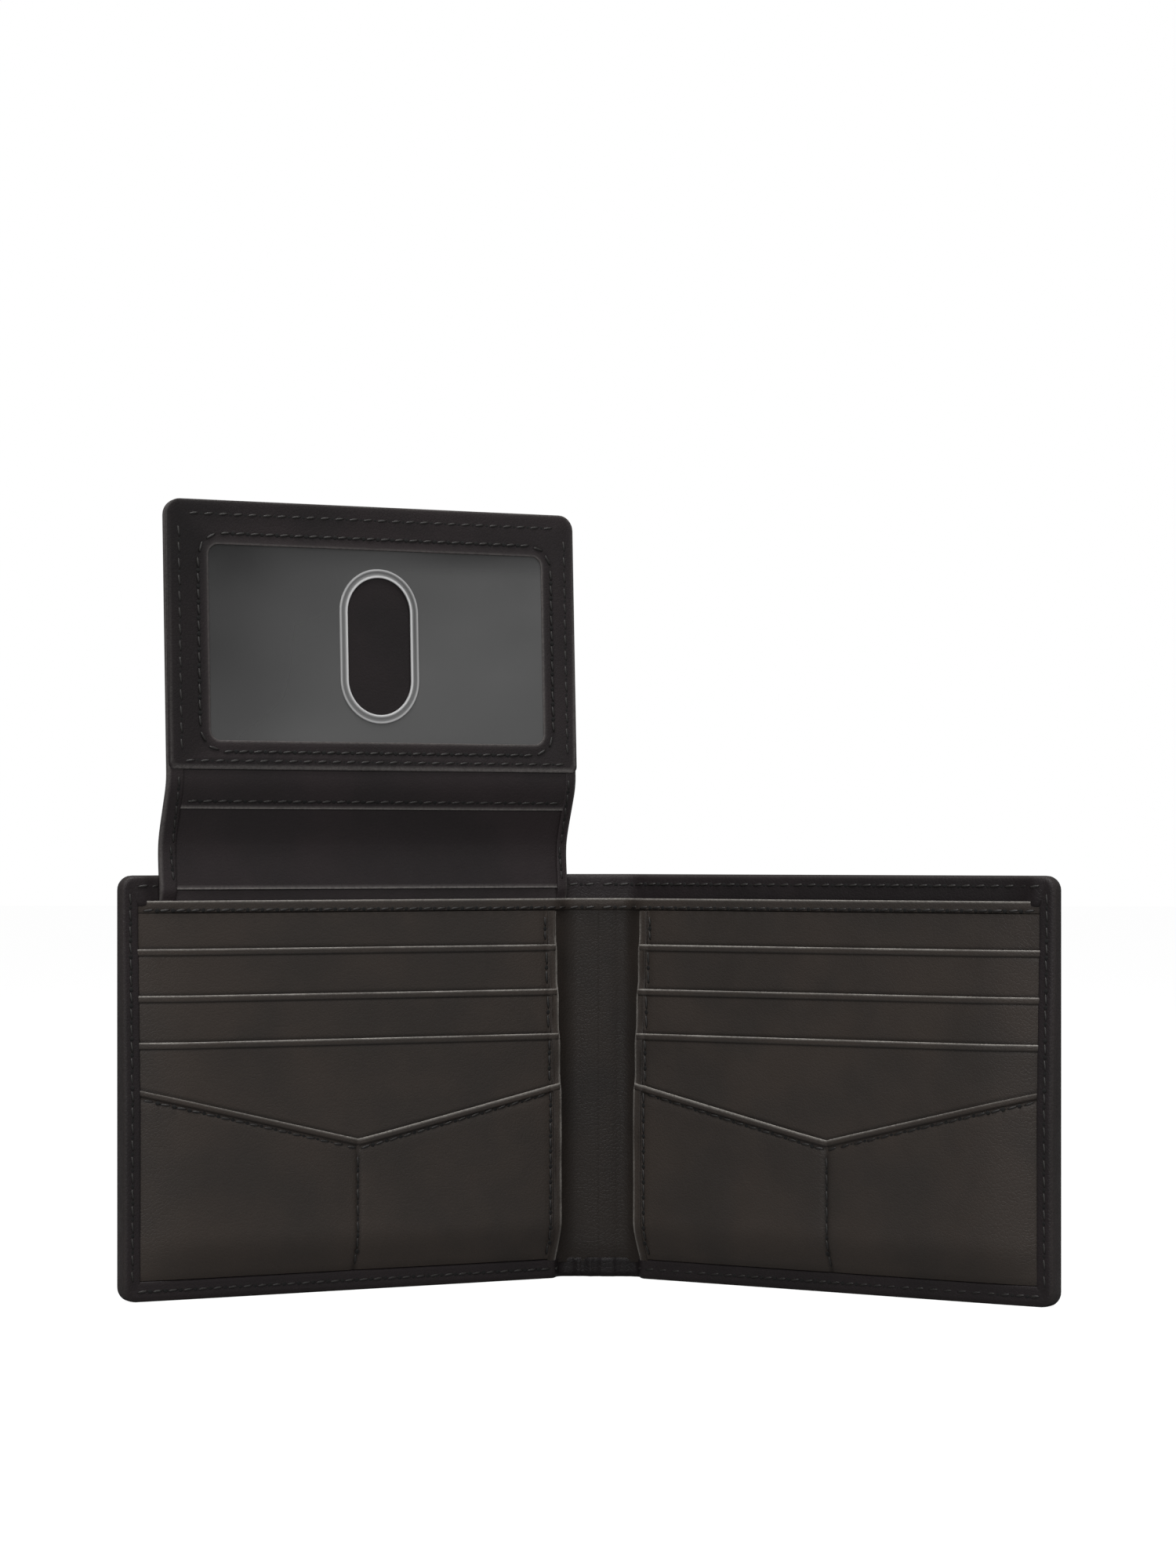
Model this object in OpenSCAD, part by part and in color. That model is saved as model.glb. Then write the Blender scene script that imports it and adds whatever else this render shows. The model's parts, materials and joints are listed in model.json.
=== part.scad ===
// Bifold wallet with a flip-up identity window, standing open on its lower edges.
// The spine stays still and both covers fold about creases beside it.
// A cover is drawn flat: x runs from its crease to its free edge, y runs out through
// the shell, and z runs up. Layers are given by their depth in front of the shell's
// inner face, so a layer at depth d lies at y = -d.

/* [Covers] */
// Width of one cover, from its crease to its free edge
panel_w = 106.5; // [100:0.5:112]
// Height of the covers
panel_h = 89; // [84:0.5:96]
// Angle that each cover is turned forward from flat
open_angle = 32; // [0:1:80]
// Radius of the covers' free corners
corner_r = 3.5; // [2:0.5:6]

/* [Spine] */
// Half of the distance between the two creases
crease_half = 6.75; // [6.5:0.05:8]
// Depth of the crease axes in front of the shell's inner face
crease_depth = 1.5; // [1.5:0.1:2]

/* [Leather] */
// Thickness of the outer shell
shell_t = 1.2; // [0.9:0.1:1.6]
// Thickness of the bill compartment's lining
lining_t = 0.3; // [0.2:0.05:0.3]
// Clear depth of the bill compartment
bill_gap = 2.1; // [2:0.1:2.2]
// Thickness of the divider in front of the bill compartment
divider_t = 0.6; // [0.5:0.05:0.6]
// Thickness of each pocket's leather
pocket_t = 0.55; // [0.4:0.05:0.55]
// Diameter of the sewing thread
thread_d = 0.5; // [0.3:0.1:0.7]

/* [Card pockets] */
// Height of the divider's upper edge
divider_top = 83.7; // [82:0.1:84]
// Number of straight card pockets on each cover
slots = 3; // [3:1:3]
// Height of the highest card pocket's mouth
slot_top = 73.6; // [72:0.1:76]
// Step down from one card pocket's mouth to the next
slot_pitch = 9.75; // [9:0.05:10.5]
// Height of the notched pocket's mouth at the free edge
notch_outer = 44.3; // [42:0.1:46]
// Height of the notched pocket's mouth at its lowest point
notch_low = 32.6; // [28:0.1:38]
// Height of the notched pocket's mouth beside the spine
notch_inner = 43.2; // [41:0.1:45]
// Distance from the crease to the pockets' edge beside the spine
stack_start = 4.4; // [4:0.1:6]
// Width of the shell's hem where it laps over the pockets
hem_w = 3.6; // [3:0.1:5]
// Height of the same hem along the lower edge
hem_h = 4.3; // [3:0.1:5]

/* [Window flap] */
// Width of the flap
flap_w = 97.4; // [90:0.1:97.4]
// Distance from the crease to the flap's edge beside the spine
flap_start = 0.2; // [0.2:0.1:2]
// Thickness of the flap
flap_t = 2; // [1.8:0.1:2]
// Height at which the flap leaves the bill compartment
flap_base = 86.3; // [86:0.1:87]
// Depth of the flap's middle at that height
flap_depth = 1.4; // [1.4:0.1:1.5]
// Length of the flap's lower strip, up to the flap's crease
strip_len = 18.6; // [16:0.1:19]
// Forward lean of the lower strip
strip_lean = 11.5; // [8:0.5:12]
// Length of the window wing above the flap's crease
wing_len = 63.5; // [58:0.5:63.5]
// Backward lean of the window wing
wing_lean = 2; // [0:0.5:3]
// Radius of the flap's free corners
flap_r = 4.6; // [3:0.1:8]

/* [Window] */
// Width of the window's opening
window_w = 79.5; // [70:0.5:80]
// Height of the window's opening
window_h = 41; // [34:0.5:42]
// Distance from the flap's crease to the window's lower edge
window_low = 13.4; // [12:0.1:14]
// Distance from the spine-side edge of the flap to the window
window_side = 8.2; // [8:0.1:10]
// Width of the oval thumb hole
thumb_w = 15; // [12:0.5:18]
// Height of the oval thumb hole
thumb_h = 29.5; // [24:0.5:30]
// Width of the welded rim around the thumb hole
thumb_rim_w = 1.9; // [1:0.1:2.5]

/* [Hidden] */
$fn = 48;

LEATHER = [0.20, 0.18, 0.17];
LINING = [0.13, 0.12, 0.12];
FILM = [0.55, 0.56, 0.57, 0.5];
THREAD = [0.10, 0.09, 0.09];

// Gap left between neighbouring layers
skin = 0.1;
// Gap left beside the creases
crease_gap = 0.2;
// How far a thread stands out of the leather
thread_out = 0.15;

lining_top = panel_h - 4;
divider_in = lining_t + bill_gap;
divider_out = divider_in + divider_t;
panel_in = divider_out + 2 * skin;
panel_out = panel_in + pocket_t - 0.05;
pocket_in = panel_out + skin;
pocket_step = pocket_t + skin;
stack_out = pocket_in + slots * pocket_step + pocket_t;
stack_end = panel_w - hem_w - skin;
stack_low = hem_h + skin;
hem_out = stack_out + 0.05;
divider_hem_h = 2.7;

// Plan position of a cover point at width u and depth d, for the right cover
function cover_x(u, d) =
    crease_half + u * cos(open_angle) + (crease_depth - d) * sin(open_angle);
function cover_y(u, d) =
    -crease_depth - u * sin(open_angle) + (crease_depth - d) * cos(open_angle);

// The origin is the middle of the bounding box's base
centre_y = (shell_t + cover_y(panel_w, hem_out)) / 2;

// ---- places ----

module seated() {
    translate([0, -centre_y, 0]) children();
}

module right() {
    seated()
    translate([crease_half, -crease_depth, 0])
    rotate([0, 0, -open_angle])
    translate([0, crease_depth, 0])
    children();
}

module left() {
    mirror([1, 0, 0]) right() children();
}

module on_strip() {
    left()
    translate([flap_start, -flap_depth, flap_base])
    rotate([strip_lean, 0, 0])
    children();
}

module on_wing() {
    left()
    translate([
        flap_start,
        -flap_depth - strip_len * sin(strip_lean),
        flap_base + strip_len * cos(strip_lean)
    ])
    rotate([-wing_lean, 0, 0])
    children();
}

// ---- basic shapes ----

// A sheet with the children's outline in width and height, between two depths
module sheet(d0, d1) {
    translate([0, -d0, 0]) rotate([90, 0, 0]) linear_extrude(d1 - d0) children();
}

module block(u0, u1, d0, d1, z0, z1) {
    translate([u0, -d1, z0]) cube([u1 - u0, d1 - d0, z1 - z0]);
}

// Outline with its two corners at the far end rounded
module far_rounded(w, h, r) {
    square([w - r, h]);
    translate([w - r, r]) square([r, h - 2 * r]);
    for (z = [r, h - r]) translate([w - r, z]) circle(r);
}

// Outline with all four corners rounded
module rounded(w, h, r) {
    translate([r, 0]) square([w - 2 * r, h]);
    translate([0, r]) square([w, h - 2 * r]);
    for (x = [r, w - r]) for (z = [r, h - r]) translate([x, z]) circle(r);
}

// Outline with its two upper corners rounded
module top_rounded(w, h, r) {
    square([w, h - r]);
    translate([r, 0]) square([w - 2 * r, h]);
    for (x = [r, w - r]) translate([x, h - r]) circle(r);
}

// Upright oval with half-round ends
module oval(w, h) {
    square([w, h - w], center = true);
    for (s = [-1, 1]) translate([0, s * (h - w) / 2]) circle(w / 2);
}

// ---- covers ----

module shell() {
    color(LEATHER) sheet(-shell_t, 0)
    translate([crease_gap, 0]) far_rounded(panel_w - crease_gap, panel_h, corner_r);
}

module lining() {
    color(LINING) block(crease_gap, stack_end, 0, lining_t, hem_h, lining_top);
}

module divider() {
    color(LEATHER) block(crease_gap, stack_end, divider_in, divider_out, stack_low, divider_top);
}

// Turned upper hem of the divider, sewn over the top of the slip panel
module divider_hem() {
    color(LEATHER)
    block(stack_start, stack_end, panel_in, pocket_in, divider_top - divider_hem_h, divider_top);
}

// Panel that carries the card pockets, open towards the spine
module slip_panel() {
    color(LEATHER)
    block(
        stack_start, stack_end, panel_in, panel_out,
        stack_low, divider_top - divider_hem_h - skin
    );
}

// Straight card pocket; number 1 is the highest
module card_pocket(number) {
    d = pocket_in + (number - 1) * pocket_step;
    color(LEATHER)
    block(
        stack_start, stack_end, d, d + pocket_t,
        stack_low, slot_top - (number - 1) * slot_pitch
    );
}

// Front pocket, its mouth cut to a shallow notch
module notch_pocket() {
    color(LEATHER) sheet(stack_out - pocket_t, stack_out)
    polygon([
        [stack_start, stack_low],
        [stack_end, stack_low],
        [stack_end, notch_outer],
        [(stack_start + stack_end) / 2, notch_low],
        [stack_start, notch_inner]
    ]);
}

// The shell's edge, turned in beside the pockets' free edge
module side_hem() {
    color(LEATHER) sheet(0, hem_out)
    intersection() {
        far_rounded(panel_w, panel_h, corner_r);
        translate([panel_w - hem_w, 0]) square([hem_w, divider_top]);
    }
}

// The shell's edge, turned in under the pockets
module lower_hem() {
    color(LEATHER) block(stack_start, stack_end, 0, hem_out, 0, hem_h);
}

// The flap's root, sewn in behind the divider
module flap_root() {
    color(LEATHER)
    block(
        flap_start + 1, flap_start + flap_w, 1.2, 1.9,
        divider_top - 10, flap_base - 0.8
    );
}

module shell_thread() {
    color(THREAD)
    block(crease_gap, panel_w - corner_r, 0, thread_out, panel_h - 1.8, panel_h - 1.8 + thread_d);
}

module divider_thread() {
    color(THREAD)
    block(
        stack_start, stack_end, pocket_in, pocket_in + thread_out,
        divider_top - 2.1, divider_top - 2.1 + thread_d
    );
}

// One seam down the free edge and along the lower edge
module hem_thread() {
    seam = hem_w / 2;
    color(THREAD) union() {
        block(
            panel_w - seam - thread_d, panel_w - seam, hem_out, hem_out + thread_out,
            seam, divider_top - 1
        );
        block(
            stack_start, panel_w - seam, hem_out, hem_out + thread_out,
            seam, seam + thread_d
        );
    }
}

// Seam under the notch, up to the seam beside the spine
module notch_thread() {
    drop = 2;
    clear = 2.3;
    middle = (stack_start + stack_end) / 2;
    color(THREAD) sheet(stack_out, stack_out + thread_out)
    intersection() {
        polygon([
            [stack_start, notch_inner - drop],
            [middle, notch_low - drop],
            [stack_end, notch_outer - drop],
            [stack_end, notch_outer - drop - thread_d],
            [middle, notch_low - drop - thread_d],
            [stack_start, notch_inner - drop - thread_d]
        ]);
        translate([stack_start + clear, 0]) square([stack_end - stack_start - clear, panel_h]);
    }
}

// Upright seam that halves the notched pocket
module centre_thread() {
    middle = (stack_start + stack_end) / 2;
    color(THREAD)
    block(
        middle - thread_d / 2, middle + thread_d / 2, stack_out, stack_out + thread_out,
        stack_low, notch_low - 2.5
    );
}

// Upright seam beside the spine, through the edges of the stacked pockets
module stack_thread() {
    u = stack_start + 1.6;
    color(THREAD) union() {
        block(
            u, u + thread_d, stack_out, stack_out + thread_out,
            stack_low, notch_inner - 1
        );
        for (i = [1 : slots]) {
            d = pocket_in + (i - 1) * pocket_step + pocket_t;
            low = i < slots ? slot_top - i * slot_pitch : notch_inner;
            block(
                u, u + thread_d, d, d + thread_out,
                low + 0.2, slot_top - (i - 1) * slot_pitch - 0.2
            );
        }
    }
}

// ---- spine ----

spine_half = crease_half - 0.25;

module spine_shell() {
    color(LEATHER) seated() block(-spine_half, spine_half, -shell_t, 0, 0, panel_h);
}

module spine_lining() {
    color(LINING) seated() block(-spine_half, spine_half, 0, lining_t, hem_h, lining_top);
}

module spine_divider() {
    color(LEATHER) seated() block(-5, 5, 0.6, 1.2, 3.4, divider_top);
}

module spine_lower_hem() {
    color(LEATHER) seated() block(-5.5, 5.5, 0, 1, 0, 3.2);
}

module spine_shell_thread() {
    color(THREAD) seated()
    block(-spine_half, spine_half, 0, thread_out, panel_h - 1.8, panel_h - 1.8 + thread_d);
}

module spine_divider_thread() {
    color(THREAD) seated()
    block(-5, 5, 1.2, 1.2 + thread_out, divider_top - 2.1, divider_top - 2.1 + thread_d);
}

// ---- window flap ----

half_t = flap_t / 2;
mid_gap = 0.3;
// Depth of the sheets of the flap, from its back
back_out = -half_t + 0.55;
front_out = half_t - 0.85;
film_out = half_t - 0.6;
film_rim = 1.2;

module strip_back() {
    color(LEATHER) on_strip() block(0, flap_w, -half_t, -0.05, 0, strip_len - mid_gap);
}

module strip_front() {
    color(LEATHER) on_strip() block(0, flap_w, 0.05, half_t - 0.2, 0, strip_len - mid_gap);
}

module strip_thread() {
    color(THREAD) on_strip()
    for (u = [2.6, flap_w - 3.4]) {
        block(u, u + thread_d, half_t - 0.2, half_t, 0.5, strip_len - 1);
    }
}

module wing_outline() {
    translate([0, mid_gap]) top_rounded(flap_w, wing_len - mid_gap, flap_r);
}

module wing_back() {
    color(LEATHER) on_wing() sheet(-half_t, back_out) wing_outline();
}

module wing_front() {
    color(LEATHER) on_wing() sheet(back_out + 0.05, front_out) wing_outline();
}

module at_window() {
    translate([window_side, window_low]) children();
}

// Leather frame whose opening shows the film
module window_frame() {
    color(LEATHER) on_wing() sheet(film_out + 0.05, half_t)
    difference() {
        intersection() {
            wing_outline();
            translate([0, 6.9]) square([flap_w, wing_len]);
        }
        at_window() rounded(window_w, window_h, 2.6);
    }
}

// Clear film behind the frame, with the oval thumb hole
module window_film() {
    color(FILM) on_wing() sheet(front_out + 0.05, film_out)
    difference() {
        at_window()
        translate([-film_rim, -film_rim])
        rounded(window_w + 2 * film_rim, window_h + 2 * film_rim, 3.5);
        at_window() translate([window_w / 2, window_h / 2]) oval(thumb_w, thumb_h);
    }
}

// Welded rim of the thumb hole
module thumb_rim() {
    color(FILM) on_wing() sheet(film_out + 0.02, film_out + 0.4)
    at_window() translate([window_w / 2, window_h / 2])
    difference() {
        oval(thumb_w + 2 * thumb_rim_w, thumb_h + 2 * thumb_rim_w);
        oval(thumb_w, thumb_h);
    }
}

module window_thread() {
    margin = 2.4;
    color(THREAD) on_wing() sheet(half_t, half_t + thread_out)
    at_window() difference() {
        translate([-margin - thread_d, -margin - thread_d])
        rounded(window_w + 2 * (margin + thread_d), window_h + 2 * (margin + thread_d), 4.4);
        translate([-margin, -margin])
        rounded(window_w + 2 * margin, window_h + 2 * margin, 4);
    }
}

// Seam around the flap's sides and top
module wing_edge_thread() {
    margin = 3;
    color(THREAD) on_wing() sheet(half_t, half_t + thread_out)
    difference() {
        translate([margin, 7.4])
        top_rounded(flap_w - 2 * margin, wing_len - margin - 7.4, 3);
        translate([margin + thread_d, 0])
        top_rounded(flap_w - 2 * (margin + thread_d), wing_len - margin - thread_d, 2.5);
    }
}

// Seam along the lower edge of the window's frame
module wing_foot_thread() {
    color(THREAD) on_wing()
    block(4, flap_w - 4, half_t, half_t + thread_out, 8.5, 8.5 + thread_d);
}

spine_shell();
spine_lining();
spine_divider();
spine_lower_hem();
spine_shell_thread();
spine_divider_thread();
left() shell();  // left_shell
left() lining();  // left_lining
left() divider();  // left_divider
left() divider_hem();  // left_divider_hem
left() slip_panel();  // left_slip_panel
left() card_pocket(1);  // left_pocket_1
left() card_pocket(2);  // left_pocket_2
left() card_pocket(3);  // left_pocket_3
left() notch_pocket();  // left_notch_pocket
left() side_hem();  // left_side_hem
left() lower_hem();  // left_lower_hem
left() flap_root();  // left_flap_root
left() shell_thread();  // left_shell_thread
left() divider_thread();  // left_divider_thread
left() hem_thread();  // left_hem_thread
left() notch_thread();  // left_notch_thread
left() centre_thread();  // left_centre_thread
left() stack_thread();  // left_stack_thread
right() shell();  // right_shell
right() lining();  // right_lining
right() divider();  // right_divider
right() divider_hem();  // right_divider_hem
right() slip_panel();  // right_slip_panel
right() card_pocket(1);  // right_pocket_1
right() card_pocket(2);  // right_pocket_2
right() card_pocket(3);  // right_pocket_3
right() notch_pocket();  // right_notch_pocket
right() side_hem();  // right_side_hem
right() lower_hem();  // right_lower_hem
right() shell_thread();  // right_shell_thread
right() divider_thread();  // right_divider_thread
right() hem_thread();  // right_hem_thread
right() notch_thread();  // right_notch_thread
right() centre_thread();  // right_centre_thread
right() stack_thread();  // right_stack_thread
strip_back();
strip_front();
strip_thread();
wing_back();
wing_front();
window_frame();
window_film();
thumb_rim();
window_thread();
wing_edge_thread();
wing_foot_thread();
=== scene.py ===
"""Dresses a leather bifold wallet with a flip-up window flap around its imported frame.

Flat leather is cut, given relief, thickened and softened in millimetres, where x is the width, z is the
height and the depth in front of the shell's inner face is -y. It is then bent about the creases and put
in its place in the row frame, in metres.
"""

import json
import logging
import math
from dataclasses import dataclass, field
from enum import Enum
from typing import Callable, Iterable, Iterator, Optional, Sequence

import bmesh
import bpy
from mathutils import Matrix, Vector, noise

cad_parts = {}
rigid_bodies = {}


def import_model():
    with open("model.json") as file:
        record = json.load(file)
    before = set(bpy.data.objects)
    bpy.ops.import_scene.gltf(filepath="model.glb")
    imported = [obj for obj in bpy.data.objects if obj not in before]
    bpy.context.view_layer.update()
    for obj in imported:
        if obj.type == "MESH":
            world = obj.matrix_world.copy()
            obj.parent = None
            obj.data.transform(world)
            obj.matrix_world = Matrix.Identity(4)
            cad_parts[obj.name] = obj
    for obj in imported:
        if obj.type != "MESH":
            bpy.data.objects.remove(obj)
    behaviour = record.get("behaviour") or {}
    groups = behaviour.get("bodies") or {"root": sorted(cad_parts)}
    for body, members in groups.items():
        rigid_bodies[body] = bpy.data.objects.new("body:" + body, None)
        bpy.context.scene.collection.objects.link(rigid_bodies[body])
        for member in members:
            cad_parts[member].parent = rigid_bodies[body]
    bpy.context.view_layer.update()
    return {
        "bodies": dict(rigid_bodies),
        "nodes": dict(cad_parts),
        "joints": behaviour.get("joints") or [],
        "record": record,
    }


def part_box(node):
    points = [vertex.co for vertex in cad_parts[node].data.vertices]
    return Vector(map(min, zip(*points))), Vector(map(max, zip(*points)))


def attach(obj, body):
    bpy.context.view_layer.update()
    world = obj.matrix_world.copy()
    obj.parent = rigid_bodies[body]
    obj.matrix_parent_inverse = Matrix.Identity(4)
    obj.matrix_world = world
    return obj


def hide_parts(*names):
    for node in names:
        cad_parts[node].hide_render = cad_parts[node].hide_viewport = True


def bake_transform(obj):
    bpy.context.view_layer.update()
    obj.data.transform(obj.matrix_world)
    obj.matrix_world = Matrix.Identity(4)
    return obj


LOG = logging.getLogger("wallet")

MM = 0.001
TINY = 1e-5
# Points of a piece closer than this are merged, in millimetres
MERGED = 0.004
# Edges of a sheet sharper than this are rounded, in degrees
SHARP = 55.0
# Height at which the bends beside the spine are measured, in millimetres
CREASE_LEVEL = 44.0

Tree = bpy.types.NodeTree
Socket = bpy.types.NodeSocket
Piece = bpy.types.Object
Vert = bmesh.types.BMVert
Edge = bmesh.types.BMEdge
Point = tuple[float, float]
Depth = Callable[[float, float], float]
Place = Callable[[float, float, float], Vector]


def smooth(value: float) -> float:
    """Return a smooth step of value, from 0 at 0 to 1 at 1."""
    t = min(1.0, max(0.0, value))
    return t * t * (3.0 - 2.0 * t)


def mix(low: float, high: float, share: float) -> float:
    """Return the value a share of the way from low to high."""
    return low + (high - low) * share


def bell(distance: float, width: float) -> float:
    """Return a bell curve: 1 at distance 0, falling away over width."""
    return math.exp(-((distance / width) ** 2))


def wave(x: float, y: float, z: float) -> float:
    """Return smooth noise at a place, from about -1 to 1."""
    return noise.noise(Vector((x, y, z)))


def spaced(start: float, stop: float, step: float) -> list[float]:
    """Return evenly spaced values from start to stop, about step apart, without the ends."""
    count = max(1, round((stop - start) / step))
    return [start + (stop - start) * i / count for i in range(1, count)]


def around(centre: float, *offsets: float) -> list[float]:
    """Return centre and the values at each offset on both sides of it."""
    return [centre] + [centre + s * o for o in offsets for s in (-1.0, 1.0)]


def box_distance(x: float, z: float, low: Point, high: Point, radius: float) -> float:
    """Distance to the edge of a rounded rectangle.

    Args:
        x: Width of the point.
        z: Height of the point.
        low: Lowest corner of the rectangle.
        high: Highest corner of the rectangle.
        radius: Radius of its corners.

    Returns:
        The distance, positive outside the rectangle and negative inside it.
    """
    over_x = abs(x - (low[0] + high[0]) / 2) - (high[0] - low[0]) / 2 + radius
    over_z = abs(z - (low[1] + high[1]) / 2) - (high[1] - low[1]) / 2 + radius
    outside = math.hypot(max(over_x, 0.0), max(over_z, 0.0))
    return outside + min(max(over_x, over_z), 0.0) - radius


# ---------------------------------------------------------------- places


class Side(Enum):
    """The two covers, by the sign of their x."""

    LEFT = -1
    RIGHT = 1


@dataclass(frozen=True)
class Cover:
    """Where one cover stands, and how flat leather bends about its crease.

    A width is measured from the middle of the spine along the flat leather.
    """

    side: Side
    crease: float
    axis_y: float
    inner_y: float
    turn: float
    bend_start: float = 2.5
    bend_end: float = 11.0

    def turned(self, width: float, depth: float, height: float, share: float) -> Vector:
        """Turn a point of the flat leather about the crease.

        Args:
            width: Distance from the middle of the spine, in millimetres.
            depth: Distance in front of the shell's inner face, in millimetres.
            height: Height above the ground, in millimetres.
            share: Share of the cover's full turn.

        Returns:
            The point in the row frame, in metres.
        """
        cosine, sine = math.cos(-self.turn * share), math.sin(-self.turn * share)
        x, y = width - self.crease, self.inner_y - depth - self.axis_y
        turned_x = self.crease + x * cosine - y * sine
        turned_y = self.axis_y + x * sine + y * cosine
        return Vector((self.side.value * turned_x, turned_y, height)) * MM

    def place(self, across: float, depth: float, height: float) -> Vector:
        """Return the place of a point on the stiff part of the cover, across from the crease."""
        return self.turned(self.crease + across, depth, height, 1.0)

    def drape(self, width: float, depth: float, height: float) -> Vector:
        """Return the place of a point of a sheet that crosses the crease."""
        share = smooth((width - self.bend_start) / (self.bend_end - self.bend_start))
        return self.turned(width, depth, height, share)

    @property
    def body(self) -> str:
        """Return the name of the cover's body."""
        return f"{self.prefix}_cover"

    @property
    def prefix(self) -> str:
        """Return the word that starts the cover's names."""
        return self.side.name.lower()


@dataclass(frozen=True)
class Layers:
    """Sizes of the wallet, in millimetres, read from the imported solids."""

    crease: float
    cover_w: float
    cover_h: float
    shell_t: float
    divider_top: float
    stack_start: float
    stack_end: float
    stack_low: float
    slip_front: float
    pocket_fronts: tuple[float, ...]
    pocket_tops: tuple[float, ...]
    notch_front: float

    @property
    def full_w(self) -> float:
        """Return the flat width from the middle of the spine to the free edge."""
        return self.crease + self.cover_w


@dataclass(frozen=True)
class Thickness:
    """Thickness of each kind of sheet, in millimetres."""

    lining: float = 0.2
    divider: float = 0.6
    slip: float = 0.5
    pocket: float = 0.55
    binding: float = 2.2
    strip: float = 0.42
    panel: float = 0.5
    film: float = 0.18


THICK = Thickness()


def local_box(cover: Cover, node: Piece) -> tuple[Vector, Vector]:
    """Box of a CAD node in its cover's own directions.

    Args:
        cover: The cover that the node belongs to.
        node: The CAD node's object.

    Returns:
        Lowest and highest (across, depth, height), in millimetres.
    """
    origin = cover.place(0.0, 0.0, 0.0)
    along = (cover.place(1.0, 0.0, 0.0) - origin) / MM
    inward = (cover.place(0.0, 1.0, 0.0) - origin) / MM
    points = [v.co - origin for v in node.data.vertices]
    across = [p.dot(along) / MM for p in points]
    depths = [p.dot(inward) / MM for p in points]
    heights = [p.z / MM for p in points]
    low = Vector((min(across), min(depths), min(heights)))
    high = Vector((max(across), max(depths), max(heights)))
    return low, high


# ---------------------------------------------------------------- leather in the making


@dataclass
class RimPoint:
    """A point of an outline and its direction towards the middle."""

    x: float
    z: float
    in_x: float
    in_z: float


Section = Callable[[RimPoint], Sequence[Point]]
Ring = Callable[[RimPoint, float], Point]


def straight_in(p: RimPoint, amount: float) -> Point:
    """Return a rim point moved straight inwards by an amount."""
    return p.x + p.in_x * amount, p.z + p.in_z * amount


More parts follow.
